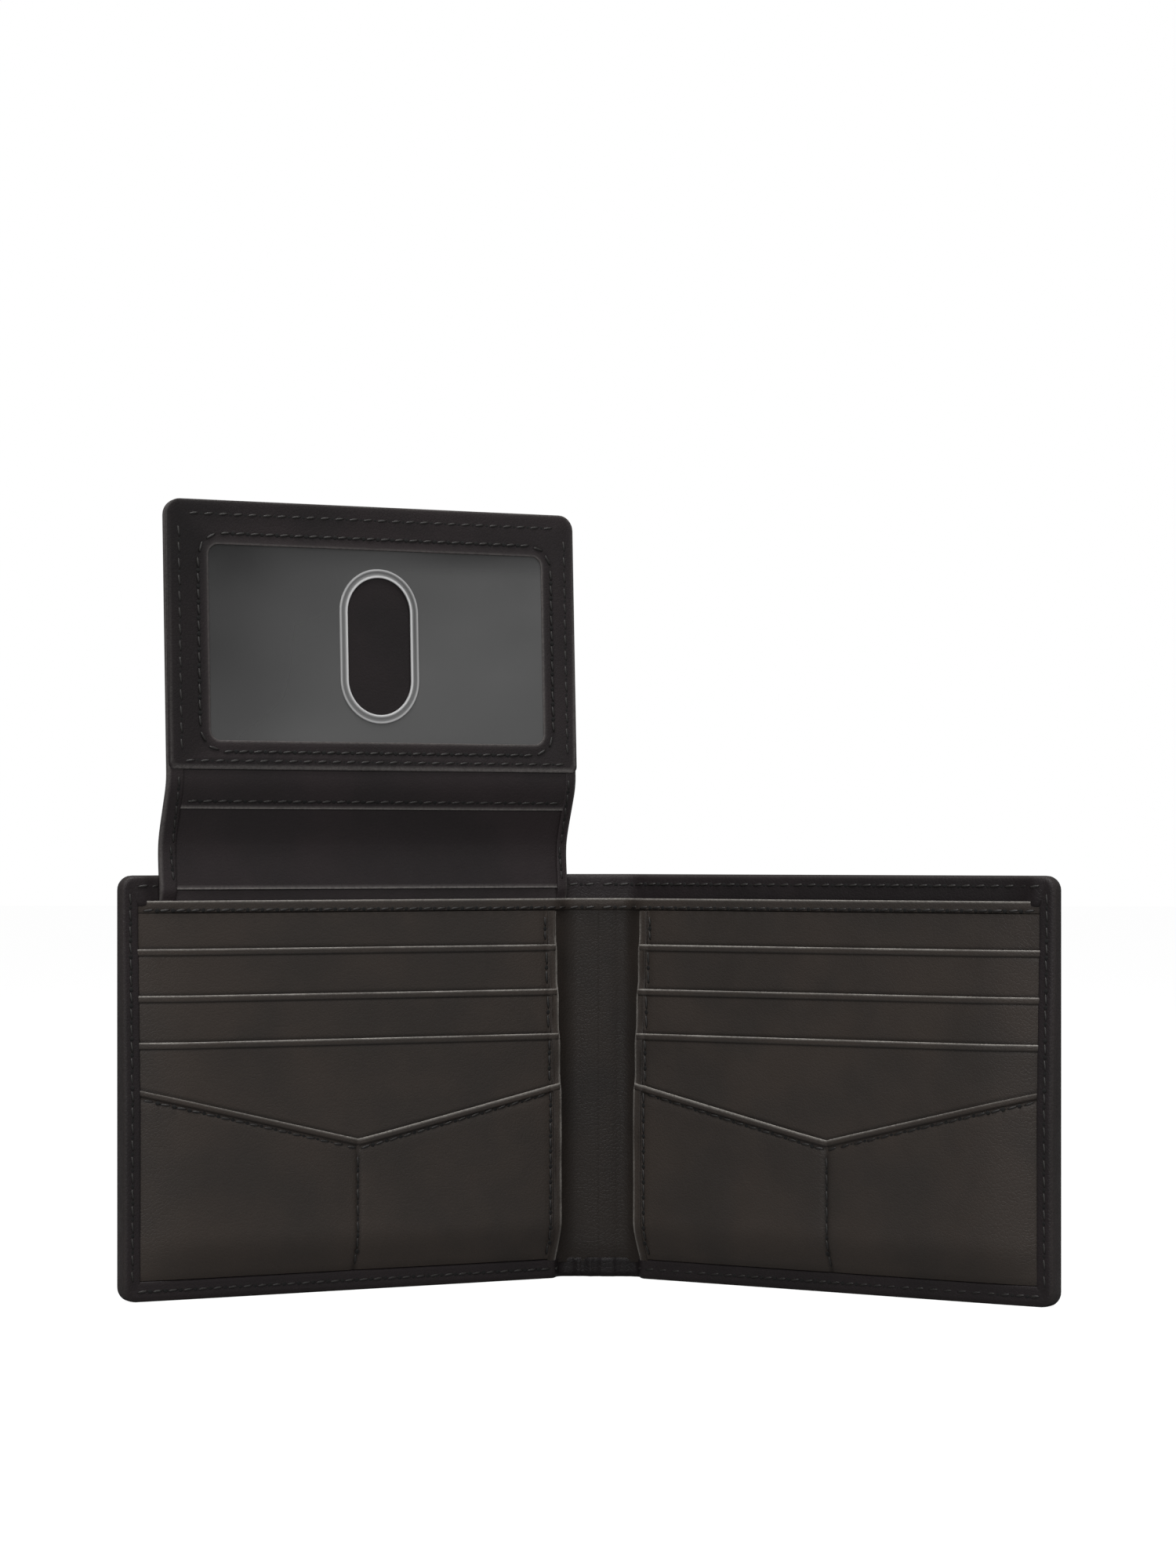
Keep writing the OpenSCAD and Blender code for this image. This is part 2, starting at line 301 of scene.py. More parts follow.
class Workpiece:
    """A flat piece being made in millimetres: x is its width, -y its depth and z its height."""

    def __init__(self, outline: Sequence[Point]) -> None:
        """Start from one face with the given outline, its corners in (width, height), or from nothing."""
        self.mesh = bmesh.new()
        if outline:
            self.mesh.faces.new([self.mesh.verts.new((x, 0.0, z)) for x, z in outline])

    @classmethod
    def rectangle(cls, low: Point, high: Point) -> "Workpiece":
        """Start from a rectangle between two corners."""
        return cls([low, (high[0], low[1]), high, (low[0], high[1])])

    @classmethod
    def between(cls, loops: Sequence[Sequence[Point]]) -> "Workpiece":
        """Make the bands of faces between closed loops with the same number of corners."""
        work = cls([])
        rows = [[work.mesh.verts.new((x, 0.0, z)) for x, z in loop] for loop in loops]
        for outer, inner in zip(rows, rows[1:]):
            for i in range(len(outer)):
                work.mesh.faces.new((outer[i - 1], outer[i], inner[i], inner[i - 1]))
        return work

    def round_corners(self, radius: float, steps: int, which: Optional[Iterable[int]] = None) -> None:
        """Round corners of the outline.

        Args:
            radius: Radius of the corners.
            steps: Number of edges in each corner.
            which: Numbers of the corners, or None for all of them.
        """
        self.mesh.verts.ensure_lookup_table()
        chosen = range(len(self.mesh.verts)) if which is None else which
        bmesh.ops.bevel(
            self.mesh,
            geom=[self.mesh.verts[i] for i in chosen],
            offset=radius,
            offset_type="OFFSET",
            segments=steps,
            profile=0.5,
            affect="VERTICES",
            material=-1,
        )

    def cut(self, point: Point, normal: Point, where: Optional[Callable[[Vector], bool]] = None) -> None:
        """Cut the faces along a line.

        Args:
            point: A point on the line.
            normal: The line's normal.
            where: Says of a face's middle whether that face may be cut.
        """
        faces = [f for f in self.mesh.faces if where is None or where(f.calc_center_median())]
        edges = {e for f in faces for e in f.edges}
        verts = {v for f in faces for v in f.verts}
        bmesh.ops.bisect_plane(
            self.mesh,
            geom=[*verts, *edges, *faces],
            dist=TINY,
            plane_co=(point[0], 0.0, point[1]),
            plane_no=(normal[0], 0.0, normal[1]),
        )

    def columns(self, widths: Iterable[float]) -> None:
        """Cut upright lines at the given widths."""
        for x in widths:
            self.cut((x, 0.0), (1.0, 0.0))

    def rows(self, heights: Iterable[float]) -> None:
        """Cut level lines at the given heights."""
        for z in heights:
            self.cut((0.0, z), (0.0, 1.0))

    def relief(self, depth: Depth) -> None:
        """Give each point the depth that its width and height call for."""
        for v in self.mesh.verts:
            v.co.y = -depth(v.co.x, v.co.z)

    def thicken(self, thickness: float) -> None:
        """Add the back, a thickness behind the front."""
        bmesh.ops.recalc_face_normals(self.mesh, faces=self.mesh.faces[:])
        if sum(f.normal.y * f.calc_area() for f in self.mesh.faces) > 0:
            bmesh.ops.reverse_faces(self.mesh, faces=self.mesh.faces[:])
        bmesh.ops.solidify(self.mesh, geom=self.mesh.faces[:], thickness=thickness)

    def soften(self, radius: float, segments: int) -> None:
        """Round the sharp edges.

        Args:
            radius: Radius of the rounding.
            segments: Number of faces across it.
        """
        self.mesh.normal_update()
        limit = math.radians(SHARP)
        sharp = [e for e in self.mesh.edges if e.is_manifold and e.calc_face_angle(0.0) > limit]
        bmesh.ops.bevel(
            self.mesh,
            geom=sharp,
            offset=radius,
            offset_type="OFFSET",
            segments=segments,
            profile=0.5,
            affect="EDGES",
            clamp_overlap=True,
            material=-1,
        )

    # -- rings --

    def rim_of(self, edges: Iterable[Edge]) -> dict[Vert, RimPoint]:
        """Measure a closed outline.

        Args:
            edges: The outline's edges; the outline is convex.

        Returns:
            Each corner with its place and its direction towards the middle.
        """
        near: dict[Vert, list[Vert]] = {}
        for e in edges:
            near.setdefault(e.verts[0], []).append(e.verts[1])
            near.setdefault(e.verts[1], []).append(e.verts[0])
        middle = sum((v.co for v in near), Vector()) / len(near)
        rim = {}
        for v, (a, b) in near.items():
            total = Vector((0.0, 0.0))
            for other in (a, b):
                step = other.co - v.co
                normal = Vector((-step.z, step.x)).normalized()
                towards = Vector((middle.x - v.co.x, middle.z - v.co.z))
                total += normal if normal.dot(towards) > 0 else -normal
            total.normalize()
            rim[v] = RimPoint(v.co.x, v.co.z, total.x, total.y)
        return rim

    def grow(
        self,
        edges: Sequence[Edge],
        rim: dict[Vert, RimPoint],
        section: Section,
        ring: Ring = straight_in,
    ) -> None:
        """Grow rings of faces from an outline.

        Args:
            edges: The outline's edges.
            rim: The outline's points, from rim_of.
            section: Gives, for a rim point, the (inset, depth) of each ring in order.
            ring: Gives the place of a rim point on a ring with an inset.
        """
        sections = {id(p): section(p) for p in rim.values()}
        for number in range(len(next(iter(sections.values())))):
            made = bmesh.ops.extrude_edge_only(self.mesh, edges=list(edges))["geom"]
            fresh = {g for g in made if isinstance(g, Vert)}
            moved = {}
            for v in fresh:
                old = next(e.other_vert(v) for e in v.link_edges if e.other_vert(v) in rim)
                moved[v] = rim[old]
            for v, p in moved.items():
                amount, depth = sections[id(p)][number]
                x, z = ring(p, amount)
                v.co = (x, -depth, z)
            edges = [g for g in made if isinstance(g, Edge) and fresh.issuperset(g.verts)]
            rim = moved

    def turn_edge(self, back: float, inner: float, section: Section, ring: Ring = straight_in) -> None:
        """Make a closed piece of leather whose edge is turned over to the front.

        Args:
            back: Depth of the back face.
            inner: Depth of the inner face.
            section: Gives the (inset, depth) of each ring, from the back face round to the
                inner face; its first pair moves the back face's own outline.
            ring: Gives the place of a rim point on a ring with an inset.
        """
        border = [e for e in self.mesh.edges if e.is_boundary]
        rim = self.rim_of(border)
        copied = bmesh.ops.duplicate(self.mesh, geom=self.mesh.faces[:])
        pairs = copied["vert_map"]
        for v in list(self.mesh.verts):
            v.co.y = -back
        for v, p in rim.items():
            rings = section(p)
            last, first = ring(p, rings[-1][0]), ring(p, rings[0][0])
            pairs[v].co = (last[0], -inner, last[1])
            v.co = (first[0], -back, first[1])
        inner_verts = {g for g in copied["geom"] if isinstance(g, Vert)}
        for v in inner_verts:
            v.co.y = -inner
        self.grow(border, rim, lambda p: section(p)[1:], ring)
        bmesh.ops.remove_doubles(self.mesh, verts=self.mesh.verts[:], dist=MERGED)
        bmesh.ops.recalc_face_normals(self.mesh, faces=self.mesh.faces[:])

    # -- finishing --

    def copy(self) -> "Workpiece":
        """Return a copy of the piece."""
        other = Workpiece([])
        other.mesh.free()
        other.mesh = self.mesh.copy()
        return other

    def half(self, point: Point, normal: Point) -> "Workpiece":
        """Copy the part of a closed piece in front of a line and close its cut.

        Args:
            point: A point on the line.
            normal: Direction, from the line, of the part that is kept.

        Returns:
            A new workpiece.
        """
        other = self.copy()
        bmesh.ops.bisect_plane(
            other.mesh,
            geom=other.mesh.verts[:] + other.mesh.edges[:] + other.mesh.faces[:],
            dist=TINY,
            plane_co=(point[0], 0.0, point[1]),
            plane_no=(normal[0], 0.0, normal[1]),
            clear_inner=True,
        )
        bmesh.ops.holes_fill(other.mesh, edges=[e for e in other.mesh.edges if e.is_boundary])
        return other

    def mirrored(self) -> "Workpiece":
        """Return a copy with its width turned round."""
        other = self.copy()
        for v in other.mesh.verts:
            v.co.x = -v.co.x
        bmesh.ops.reverse_faces(other.mesh, faces=other.mesh.faces[:])
        return other

    def build(
        self,
        name: str,
        place: Place,
        finish: bpy.types.Material,
        rub: Optional[Depth] = None,
        seam: Optional[Depth] = None,
    ) -> Piece:
        """Turn the workpiece into an object in the row frame.

        Args:
            name: Name of the piece.
            place: Gives the place of a (width, depth, height).
            finish: Its material.
            rub: Gives the pale mark at a (width, height), from 0 to 1: wear and painted highlight on leather,
                cloudiness and painted reflection on the film, painted highlight on the rim.
            seam: Gives the painted shade at a (width, height), from 0 to 1, in seam grooves, crevices,
                recesses and at the foot of the spine.

        Returns:
            The object, at the origin, with its place in its mesh.
        """
        # The first attribute is a pale mark of wear and painted highlight; the second, 'seam', is painted
        # shade.
        mark_and_highlight_layer = self.mesh.verts.layers.float.new("rub")
        painted_shade_layer = self.mesh.verts.layers.float.new("seam")
        for v in self.mesh.verts:
            x, depth, z = v.co.x, -v.co.y, v.co.z
            v[mark_and_highlight_layer] = rub(x, z) if rub else 0.0
            v[painted_shade_layer] = seam(x, z) if seam else 0.0
            v.co = place(x, depth, z)
        bmesh.ops.recalc_face_normals(self.mesh, faces=self.mesh.faces[:])
        return finish_mesh(self.mesh, name, [finish])


def grown(corners: tuple[Point, Point], amount: float) -> tuple[Point, Point]:
    """Return a rectangle's corners moved outwards by an amount."""
    (x0, z0), (x1, z1) = corners
    return (x0 - amount, z0 - amount), (x1 + amount, z1 + amount)


def flat_size(low: Point, high: Point) -> Point:
    """Return the flat size of a cut between two corners, in metres."""
    return (high[0] - low[0]) * MM, (high[1] - low[1]) * MM


def rounded_loop(corners: tuple[Point, Point], radii: tuple[float, float], steps: int) -> list[Point]:
    """Points of a rounded rectangle.

    Args:
        corners: Its lowest and highest corners.
        radii: Radius of its two lower and of its two upper corners.
        steps: Edges in each corner; an even number.

    Returns:
        Its points in order, from the middle of the lower left corner.
    """
    work = Workpiece.rectangle(*corners)
    work.round_corners(radii[0], steps, which=[0, 1])
    top = [i for i, v in enumerate(work.mesh.verts) if v.co.z > corners[1][1] - TINY]
    work.round_corners(radii[1], steps, which=top)
    points = [(v.co.x, v.co.z) for v in next(iter(work.mesh.faces)).verts]
    work.mesh.free()
    twice_area = sum(a[0] * b[1] - b[0] * a[1] for a, b in zip(points, points[1:] + points[:1]))
    if twice_area < 0:
        points.reverse()
    first = min(range(len(points)), key=lambda i: points[i][0] + points[i][1])
    return points[first:] + points[:first]


def finish_mesh(
    mesh: bmesh.types.BMesh, name: str, finishes: Sequence[bpy.types.Material], angle: float = 48.0
) -> Piece:
    """Make an object from a finished mesh.

    Args:
        mesh: The mesh, in metres; it is freed.
        name: Name of the piece.
        finishes: Its materials.
        angle: Edges sharper than this many degrees stay crisp.

    Returns:
        The linked object.
    """
    data = bpy.data.meshes.new(name)
    mesh.to_mesh(data)
    mesh.free()
    data.shade_smooth()
    data.set_sharp_from_angle(angle=math.radians(angle))
    for finish in finishes:
        data.materials.append(finish)
    piece = bpy.data.objects.new(name, data)
    bpy.context.scene.collection.objects.link(piece)
    return piece


# ---------------------------------------------------------------- finishes


class Finish(Enum):
    """The record's material slots that the pieces take their finish from."""

    SHELL = "shell_leather"
    POCKET = "pocket_leather"
    FLAP = "flap_leather"
    LINING = "lining"
    FILM = "film"
    RIM = "film_rim"
    THREAD = "thread"


def linked(tree: Tree, kind: str, **links: Socket) -> bpy.types.Node:
    """Add a node and feed its named inputs.

    Args:
        tree: The node tree.
        kind: The node's type.
        links: An output for each input, named with underscores for spaces.

    Returns:
        The node.
    """
    node = tree.nodes.new(kind)
    for name, source in links.items():
        tree.links.new(source, node.inputs[name.replace("_", " ")])
    return node


def ramped(tree: Tree, source: Socket, low: Point, high: Point) -> Socket:
    """Map a value smoothly.

    Args:
        tree: The node tree.
        source: The value.
        low: (value, result) at the lower end.
        high: (value, result) at the upper end.

    Returns:
        The mapped value.
    """
    node = linked(tree, "ShaderNodeMapRange", Value=source)
    node.interpolation_type = "SMOOTHSTEP"
    node.inputs["From Min"].default_value, node.inputs["To Min"].default_value = low
    node.inputs["From Max"].default_value, node.inputs["To Max"].default_value = high
    return node.outputs["Result"]


def noise_at(tree: Tree, where: Socket, scale: float, detail: float) -> Socket:
    """Add noise of a scale per metre and return its value."""
    node = linked(tree, "ShaderNodeTexNoise", Vector=where)
    node.inputs["Scale"].default_value = scale
    node.inputs["Detail"].default_value = detail
    return node.outputs["Fac"]


def combined(tree: Tree, kind: str, first: Socket, second: float | Socket) -> Socket:
    """Combine two values with the math operation named by kind."""
    node = linked(tree, "ShaderNodeMath")
    node.operation = kind
    tree.links.new(first, node.inputs[0])
    if isinstance(second, float):
        node.inputs[1].default_value = second
    else:
        tree.links.new(second, node.inputs[1])
    return node.outputs[0]


def blended(
    tree: Tree, share: Socket, low: Socket | Sequence[float], high: Socket | Sequence[float]
) -> Socket:
    """Mix two colours by a share and return the colour."""
    node = tree.nodes.new("ShaderNodeMix")
    node.data_type = "RGBA"
    tree.links.new(share, node.inputs[0])
    for socket, colour in ((node.inputs[6], low), (node.inputs[7], high)):
        if isinstance(colour, Socket):
            tree.links.new(colour, socket)
        else:
            socket.default_value = (*colour, 1.0)
    return node.outputs[2]


def painted(tree: Tree, name: str) -> Socket:
    """Read the attribute of a piece's points that has a name."""
    node = tree.nodes.new("ShaderNodeAttribute")
    node.attribute_name = name
    return node.outputs["Fac"]


def object_place(tree: Tree) -> Socket:
    """Return the place of a point in the object's own coordinates."""
    return tree.nodes.new("ShaderNodeTexCoord").outputs["Object"]


def bumped(tree: Tree, shader: bpy.types.Node, height: Socket, strength: float, depth: float) -> None:
    """Let a height disturb the normal of a Principled node.

    Args:
        tree: The node tree.
        shader: The Principled node.
        height: The height.
        strength: Strength of the bump.
        depth: Depth of the bump, in millimetres.
    """
    bump = linked(tree, "ShaderNodeBump", Height=height)
    bump.inputs["Strength"].default_value = strength
    bump.inputs["Distance"].default_value = depth * MM
    tree.links.new(bump.outputs["Normal"], shader.inputs["Normal"])


def group_with(name: str, outputs: dict[str, str], inputs: dict[str, str]) -> Tree:
    """Make an empty shader group with named, typed sockets."""
    group = bpy.data.node_groups.new(name, "ShaderNodeTree")
    for socket, kind in inputs.items():
        group.interface.new_socket(socket, in_out="INPUT", socket_type=kind)
    for socket, kind in outputs.items():
        group.interface.new_socket(socket, in_out="OUTPUT", socket_type=kind)
    return group


def leather_group() -> Tree:
    """Build the shared leather surface: its colour, roughness and height.

    Returns:
        A group with the inputs Tint and Rubbed, the pale colour of wear and painted highlight on edges, and
        the outputs Color, Roughness and Height.
    """
    group = group_with(
        "leather_surface",
        {"Color": "NodeSocketColor", "Roughness": "NodeSocketFloat", "Height": "NodeSocketFloat"},
        {"Tint": "NodeSocketColor", "Rubbed": "NodeSocketColor"},
    )
    entry = group.nodes.new("NodeGroupInput")
    exit_node = group.nodes.new("NodeGroupOutput")
    where = object_place(group)

    cloud = ramped(group, noise_at(group, where, 54.0, 3.0), (0.34, 0.0), (0.66, 1.0))
    speck = noise_at(group, where, 1500.0, 2.0)
    cells = linked(group, "ShaderNodeTexVoronoi", Vector=where)
    cells.feature = "DISTANCE_TO_EDGE"
    cells.inputs["Scale"].default_value = 1250.0
    grain = ramped(group, cells.outputs["Distance"], (0.0, 0.0), (0.16, 1.0))
    swell = noise_at(group, where, 190.0, 2.0)

    darker = linked(group, "ShaderNodeHueSaturation", Color=entry.outputs["Tint"])
    darker.inputs["Value"].default_value = 0.8
    darker.inputs["Saturation"].default_value = 0.8
    base = blended(group, cloud, darker.outputs["Color"], entry.outputs["Tint"])
    # Pale mark: wear and painted highlight on edges, in patches.
    patch = ramped(group, speck, (0.35, 0.7), (0.6, 1.0))
    worn_and_lit_share = combined(group, "MULTIPLY", painted(group, "rub"), patch)
    rubbed = blended(group, worn_and_lit_share, base, entry.outputs["Rubbed"])
    # Painted shade: the 'seam' attribute blends in a darker copy, for grooves, crevices, recesses and the
    # foot of the spine.
    shade = linked(group, "ShaderNodeHueSaturation", Color=rubbed)
    shade.inputs["Value"].default_value = 0.45
    colour = blended(group, painted(group, "seam"), rubbed, shade.outputs["Color"])
    group.links.new(colour, exit_node.inputs["Color"])

    smoother = combined(group, "MULTIPLY", worn_and_lit_share, -0.1)
    rough = combined(group, "ADD", ramped(group, swell, (0.3, 0.42), (0.7, 0.56)), smoother)
    group.links.new(rough, exit_node.inputs["Roughness"])

    height = combined(group, "MULTIPLY", grain, 0.55)
    for source, amount in ((swell, 0.9), (speck, 0.35)):
        height = combined(group, "ADD", height, combined(group, "MULTIPLY", source, amount))
    group.links.new(height, exit_node.inputs["Height"])
    return group


def new_material(name: str) -> tuple[bpy.types.Material, Tree, bpy.types.Node]:
    """Make a material and return it with its tree and its Principled node."""
    material = bpy.data.materials.new(name)
    material.use_nodes = True
    tree = material.node_tree
    return material, tree, tree.nodes["Principled BSDF"]


@dataclass(frozen=True)
class Leather:
    """A leather finish."""

    name: str
    tint: tuple[float, float, float]
    # Pale colour for wear and painted highlight on edges.
    rubbed: tuple[float, float, float]

    def material(self, group: Tree) -> bpy.types.Material:
        """Build the finish's material around the shared leather surface."""
        material, tree, shader = new_material(self.name)
        surface = tree.nodes.new("ShaderNodeGroup")
        surface.node_tree = group
        surface.inputs["Tint"].default_value = (*self.tint, 1.0)
        surface.inputs["Rubbed"].default_value = (*self.rubbed, 1.0)
        shader.inputs["Specular IOR Level"].default_value = 0.2
        tree.links.new(surface.outputs["Color"], shader.inputs["Base Color"])
        tree.links.new(surface.outputs["Roughness"], shader.inputs["Roughness"])
        bumped(tree, shader, surface.outputs["Height"], strength=0.5, depth=0.09)
        return material


@dataclass(frozen=True)
class Film:
    """A clear, slightly cloudy vinyl finish, greyer in its clouds, and paler by a painted mark: cloudiness
    and painted reflection on the film, painted highlight on the rim.
    """

    name: str
    tint: float
    cloudy: float
    haze_and_highlight: float
    alpha: float
    roughness: float
    shine: float

    def material(self) -> bpy.types.Material:
        """Build the vinyl's material."""
        material, tree, shader = new_material(self.name)
        where = object_place(tree)
        cloud = ramped(tree, noise_at(tree, where, 26.0, 1.0), (0.35, 0.0), (0.65, 1.0))
        plain = blended(tree, cloud, (self.tint,) * 3, (self.cloudy,) * 3)
        # Pale mark: cloudiness with painted reflection and painted shadow on the film, painted highlight on
        # the rim.
        tinted = blended(tree, painted(tree, "rub"), plain, (self.haze_and_highlight,) * 3)
        tree.links.new(tinted, shader.inputs["Base Color"])
        bumped(tree, shader, noise_at(tree, where, 75.0, 1.5), strength=0.35, depth=0.5)
        shader.inputs["Specular IOR Level"].default_value = self.shine
        shader.inputs["Alpha"].default_value = self.alpha
        shader.inputs["Roughness"].default_value = self.roughness
        return material


@dataclass(frozen=True)
class Plain:
    """A plain finish with fine fibres, such as thread or cloth."""

    name: str
    tint: tuple[float, float, float]
    roughness: float
    fibre: float = 2200.0

    def material(self) -> bpy.types.Material:
        """Build the finish's material."""
        material, tree, shader = new_material(self.name)
        fibres = noise_at(tree, object_place(tree), self.fibre, 2.0)
        dark = tuple(0.6 * c for c in self.tint)
        tree.links.new(blended(tree, fibres, dark, self.tint), shader.inputs["Base Color"])
        bumped(tree, shader, fibres, strength=0.4, depth=0.06)
        shader.inputs["Roughness"].default_value = self.roughness
        return material


class Palette:
    """Every material of the wallet, by finish."""

    def __init__(self) -> None:
        """Build the materials."""
        group = leather_group()
        # The shell and the flap are tinted darker than the pockets partly as painted shade, for how dark they
        # stand in this light; each second colour is the pale of wear and painted highlight.
        leathers = {
            Finish.SHELL: Leather("shell_leather", (0.0185, 0.0143, 0.0152), (0.12, 0.108, 0.1)),
            Finish.POCKET: Leather("pocket_leather", (0.0432, 0.0346, 0.0294), (0.35, 0.33, 0.305)),
            Finish.FLAP: Leather("flap_leather", (0.0268, 0.0208, 0.0219), (0.25, 0.235, 0.225)),
        }
        self.of = {finish: leather.material(group) for finish, leather in leathers.items()}
        self.of[Finish.LINING] = Plain("lining_cloth", (0.012, 0.011, 0.011), 0.85, 3000.0).material()
        self.of[Finish.THREAD] = Plain("thread", (0.014, 0.012, 0.011), 0.5).material()
        # The film's pale mark colour is cloudiness with painted reflection; the rim's near-white mark colour
        # is a painted highlight on its ridges.
        self.of[Finish.FILM] = Film(
            "film", tint=0.026, cloudy=0.056, haze_and_highlight=0.15, alpha=0.74, roughness=0.45, shine=0.22
        ).material()
        self.of[Finish.RIM] = Film(
            "film_rim", tint=0.1, cloudy=0.14, haze_and_highlight=0.85, alpha=0.8, roughness=0.12, shine=0.5
        ).material()
        # Near-black beads between stitches: painted shade in the needle holes.
        self.pit = Plain("needle_pit", (0.003, 0.0028, 0.0026), 0.9).material()


# ---------------------------------------------------------------- stitches


@dataclass
class Seam:
    """Rows of stitches sewn into one piece, each a bead of thread; between two stitches lies a near-black
    bead, painted shade in the needle hole.

    Sizes are in millimetres; reach is the share of the pitch that a stitch covers.
    """

    name: str
    place: Place
    palette: Palette
    pitch: float = 3.4
    reach: float = 0.72
    thread_w: float = 0.62
    thread_t: float = 0.5
    raised: float = 0.03
    pit: tuple[float, float, float] = (1.05, 0.95, 0.2)
    mesh: bmesh.types.BMesh = field(default_factory=bmesh.new)
    count: int = 0

    def bead(self, centre: Vector, frame: Matrix, size: Vector, material: int) -> None:
        """Add one rounded bead.

        Args:
            centre: Its middle, in the row frame.
            frame: Its directions.
            size: Its full sizes, in millimetres.
            material: Number of its material.
        """
        scale = Matrix.Diagonal((*(size * (MM / 2)), 1.0))
        made = bmesh.ops.create_uvsphere(
            self.mesh,
            u_segments=8,
            v_segments=5,
            radius=1.0,
            matrix=Matrix.Translation(centre) @ frame.to_4x4() @ scale,
        )
        for v in made["verts"]:
            for f in v.link_faces:
                f.material_index = material

    def sew(self, start: Point, end: Point, depth: Depth, slant: float = 7.0, sink: float = 0.0) -> None:
        """Sew a straight row.

        Args:
            start: First (width, height).
            end: Last (width, height).
            depth: Depth of the leather at a width and height.
            slant: Turn of each stitch from the row, in degrees.
            sink: How far the row is pulled into the leather, in millimetres.
        """
        length = math.dist(start, end)
        number = max(1, round(length / self.pitch))
        step = 0.5
        size = Vector((length / number * self.reach, self.thread_w, self.thread_t))
        for i in range(number):
            share, after = (i + 0.5) / number, (i + 1.0) / number
            x, z = mix(start[0], end[0], share), mix(start[1], end[1], share)
            ahead = (x + (end[0] - start[0]) / length * step, z + (end[1] - start[1]) / length * step)
            d = depth(x, z) - sink
            here = self.place(x, d, z)
            along = (self.place(ahead[0], depth(*ahead) - sink, ahead[1]) - here).normalized()
            out = (self.place(x, d + step, z) - here).normalized()
            out = (out - along * out.dot(along)).normalized()
            side = out.cross(along)
            turned = Matrix.Rotation(math.radians(slant), 3, out)
            frame = turned @ Matrix((along, side, out)).transposed()
            self.bead(here + out * self.raised * MM, frame, size, 0)
            # A near-black bead in each gap: painted shade in the needle hole.
            if i < number - 1:
                gap = self.place(mix(start[0], end[0], after), d, mix(start[1], end[1], after))
                self.bead(gap, frame, Vector(self.pit), 1)
        self.count += number

    def finish(self) -> Piece:
        """Return the seam's object."""
        piece = finish_mesh(self.mesh, self.name, [self.palette.of[Finish.THREAD], self.palette.pit], 80.0)
        LOG.info("%s: %d stitches", self.name, self.count)
        return piece


def declare(piece: Piece, finish: Finish, *nodes: str) -> None:
    """Hide the CAD nodes that a piece stands for, and report its faces."""
    if nodes:
        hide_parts(*nodes)
    LOG.info("%s: %d faces", piece.name, len(piece.data.polygons))


# ---------------------------------------------------------------- covers


@dataclass(frozen=True)
class Notch:
    """Heights of the shallow V cut into a front pocket's mouth, in millimetres."""

    outer: float = 44.3
    low: float = 32.6
    inner: float = 43.2


@dataclass(frozen=True)
class Hem:
    """How the shell's edge is turned over, in millimetres; rolled is the width of its rounded edge."""

    side: float = 3.7
    foot: float = 4.3
    head: float = 6.4
    corner: float = 3.0
    rolled: float = 1.3
    leather: float = 0.6
    lap: float = 0.6


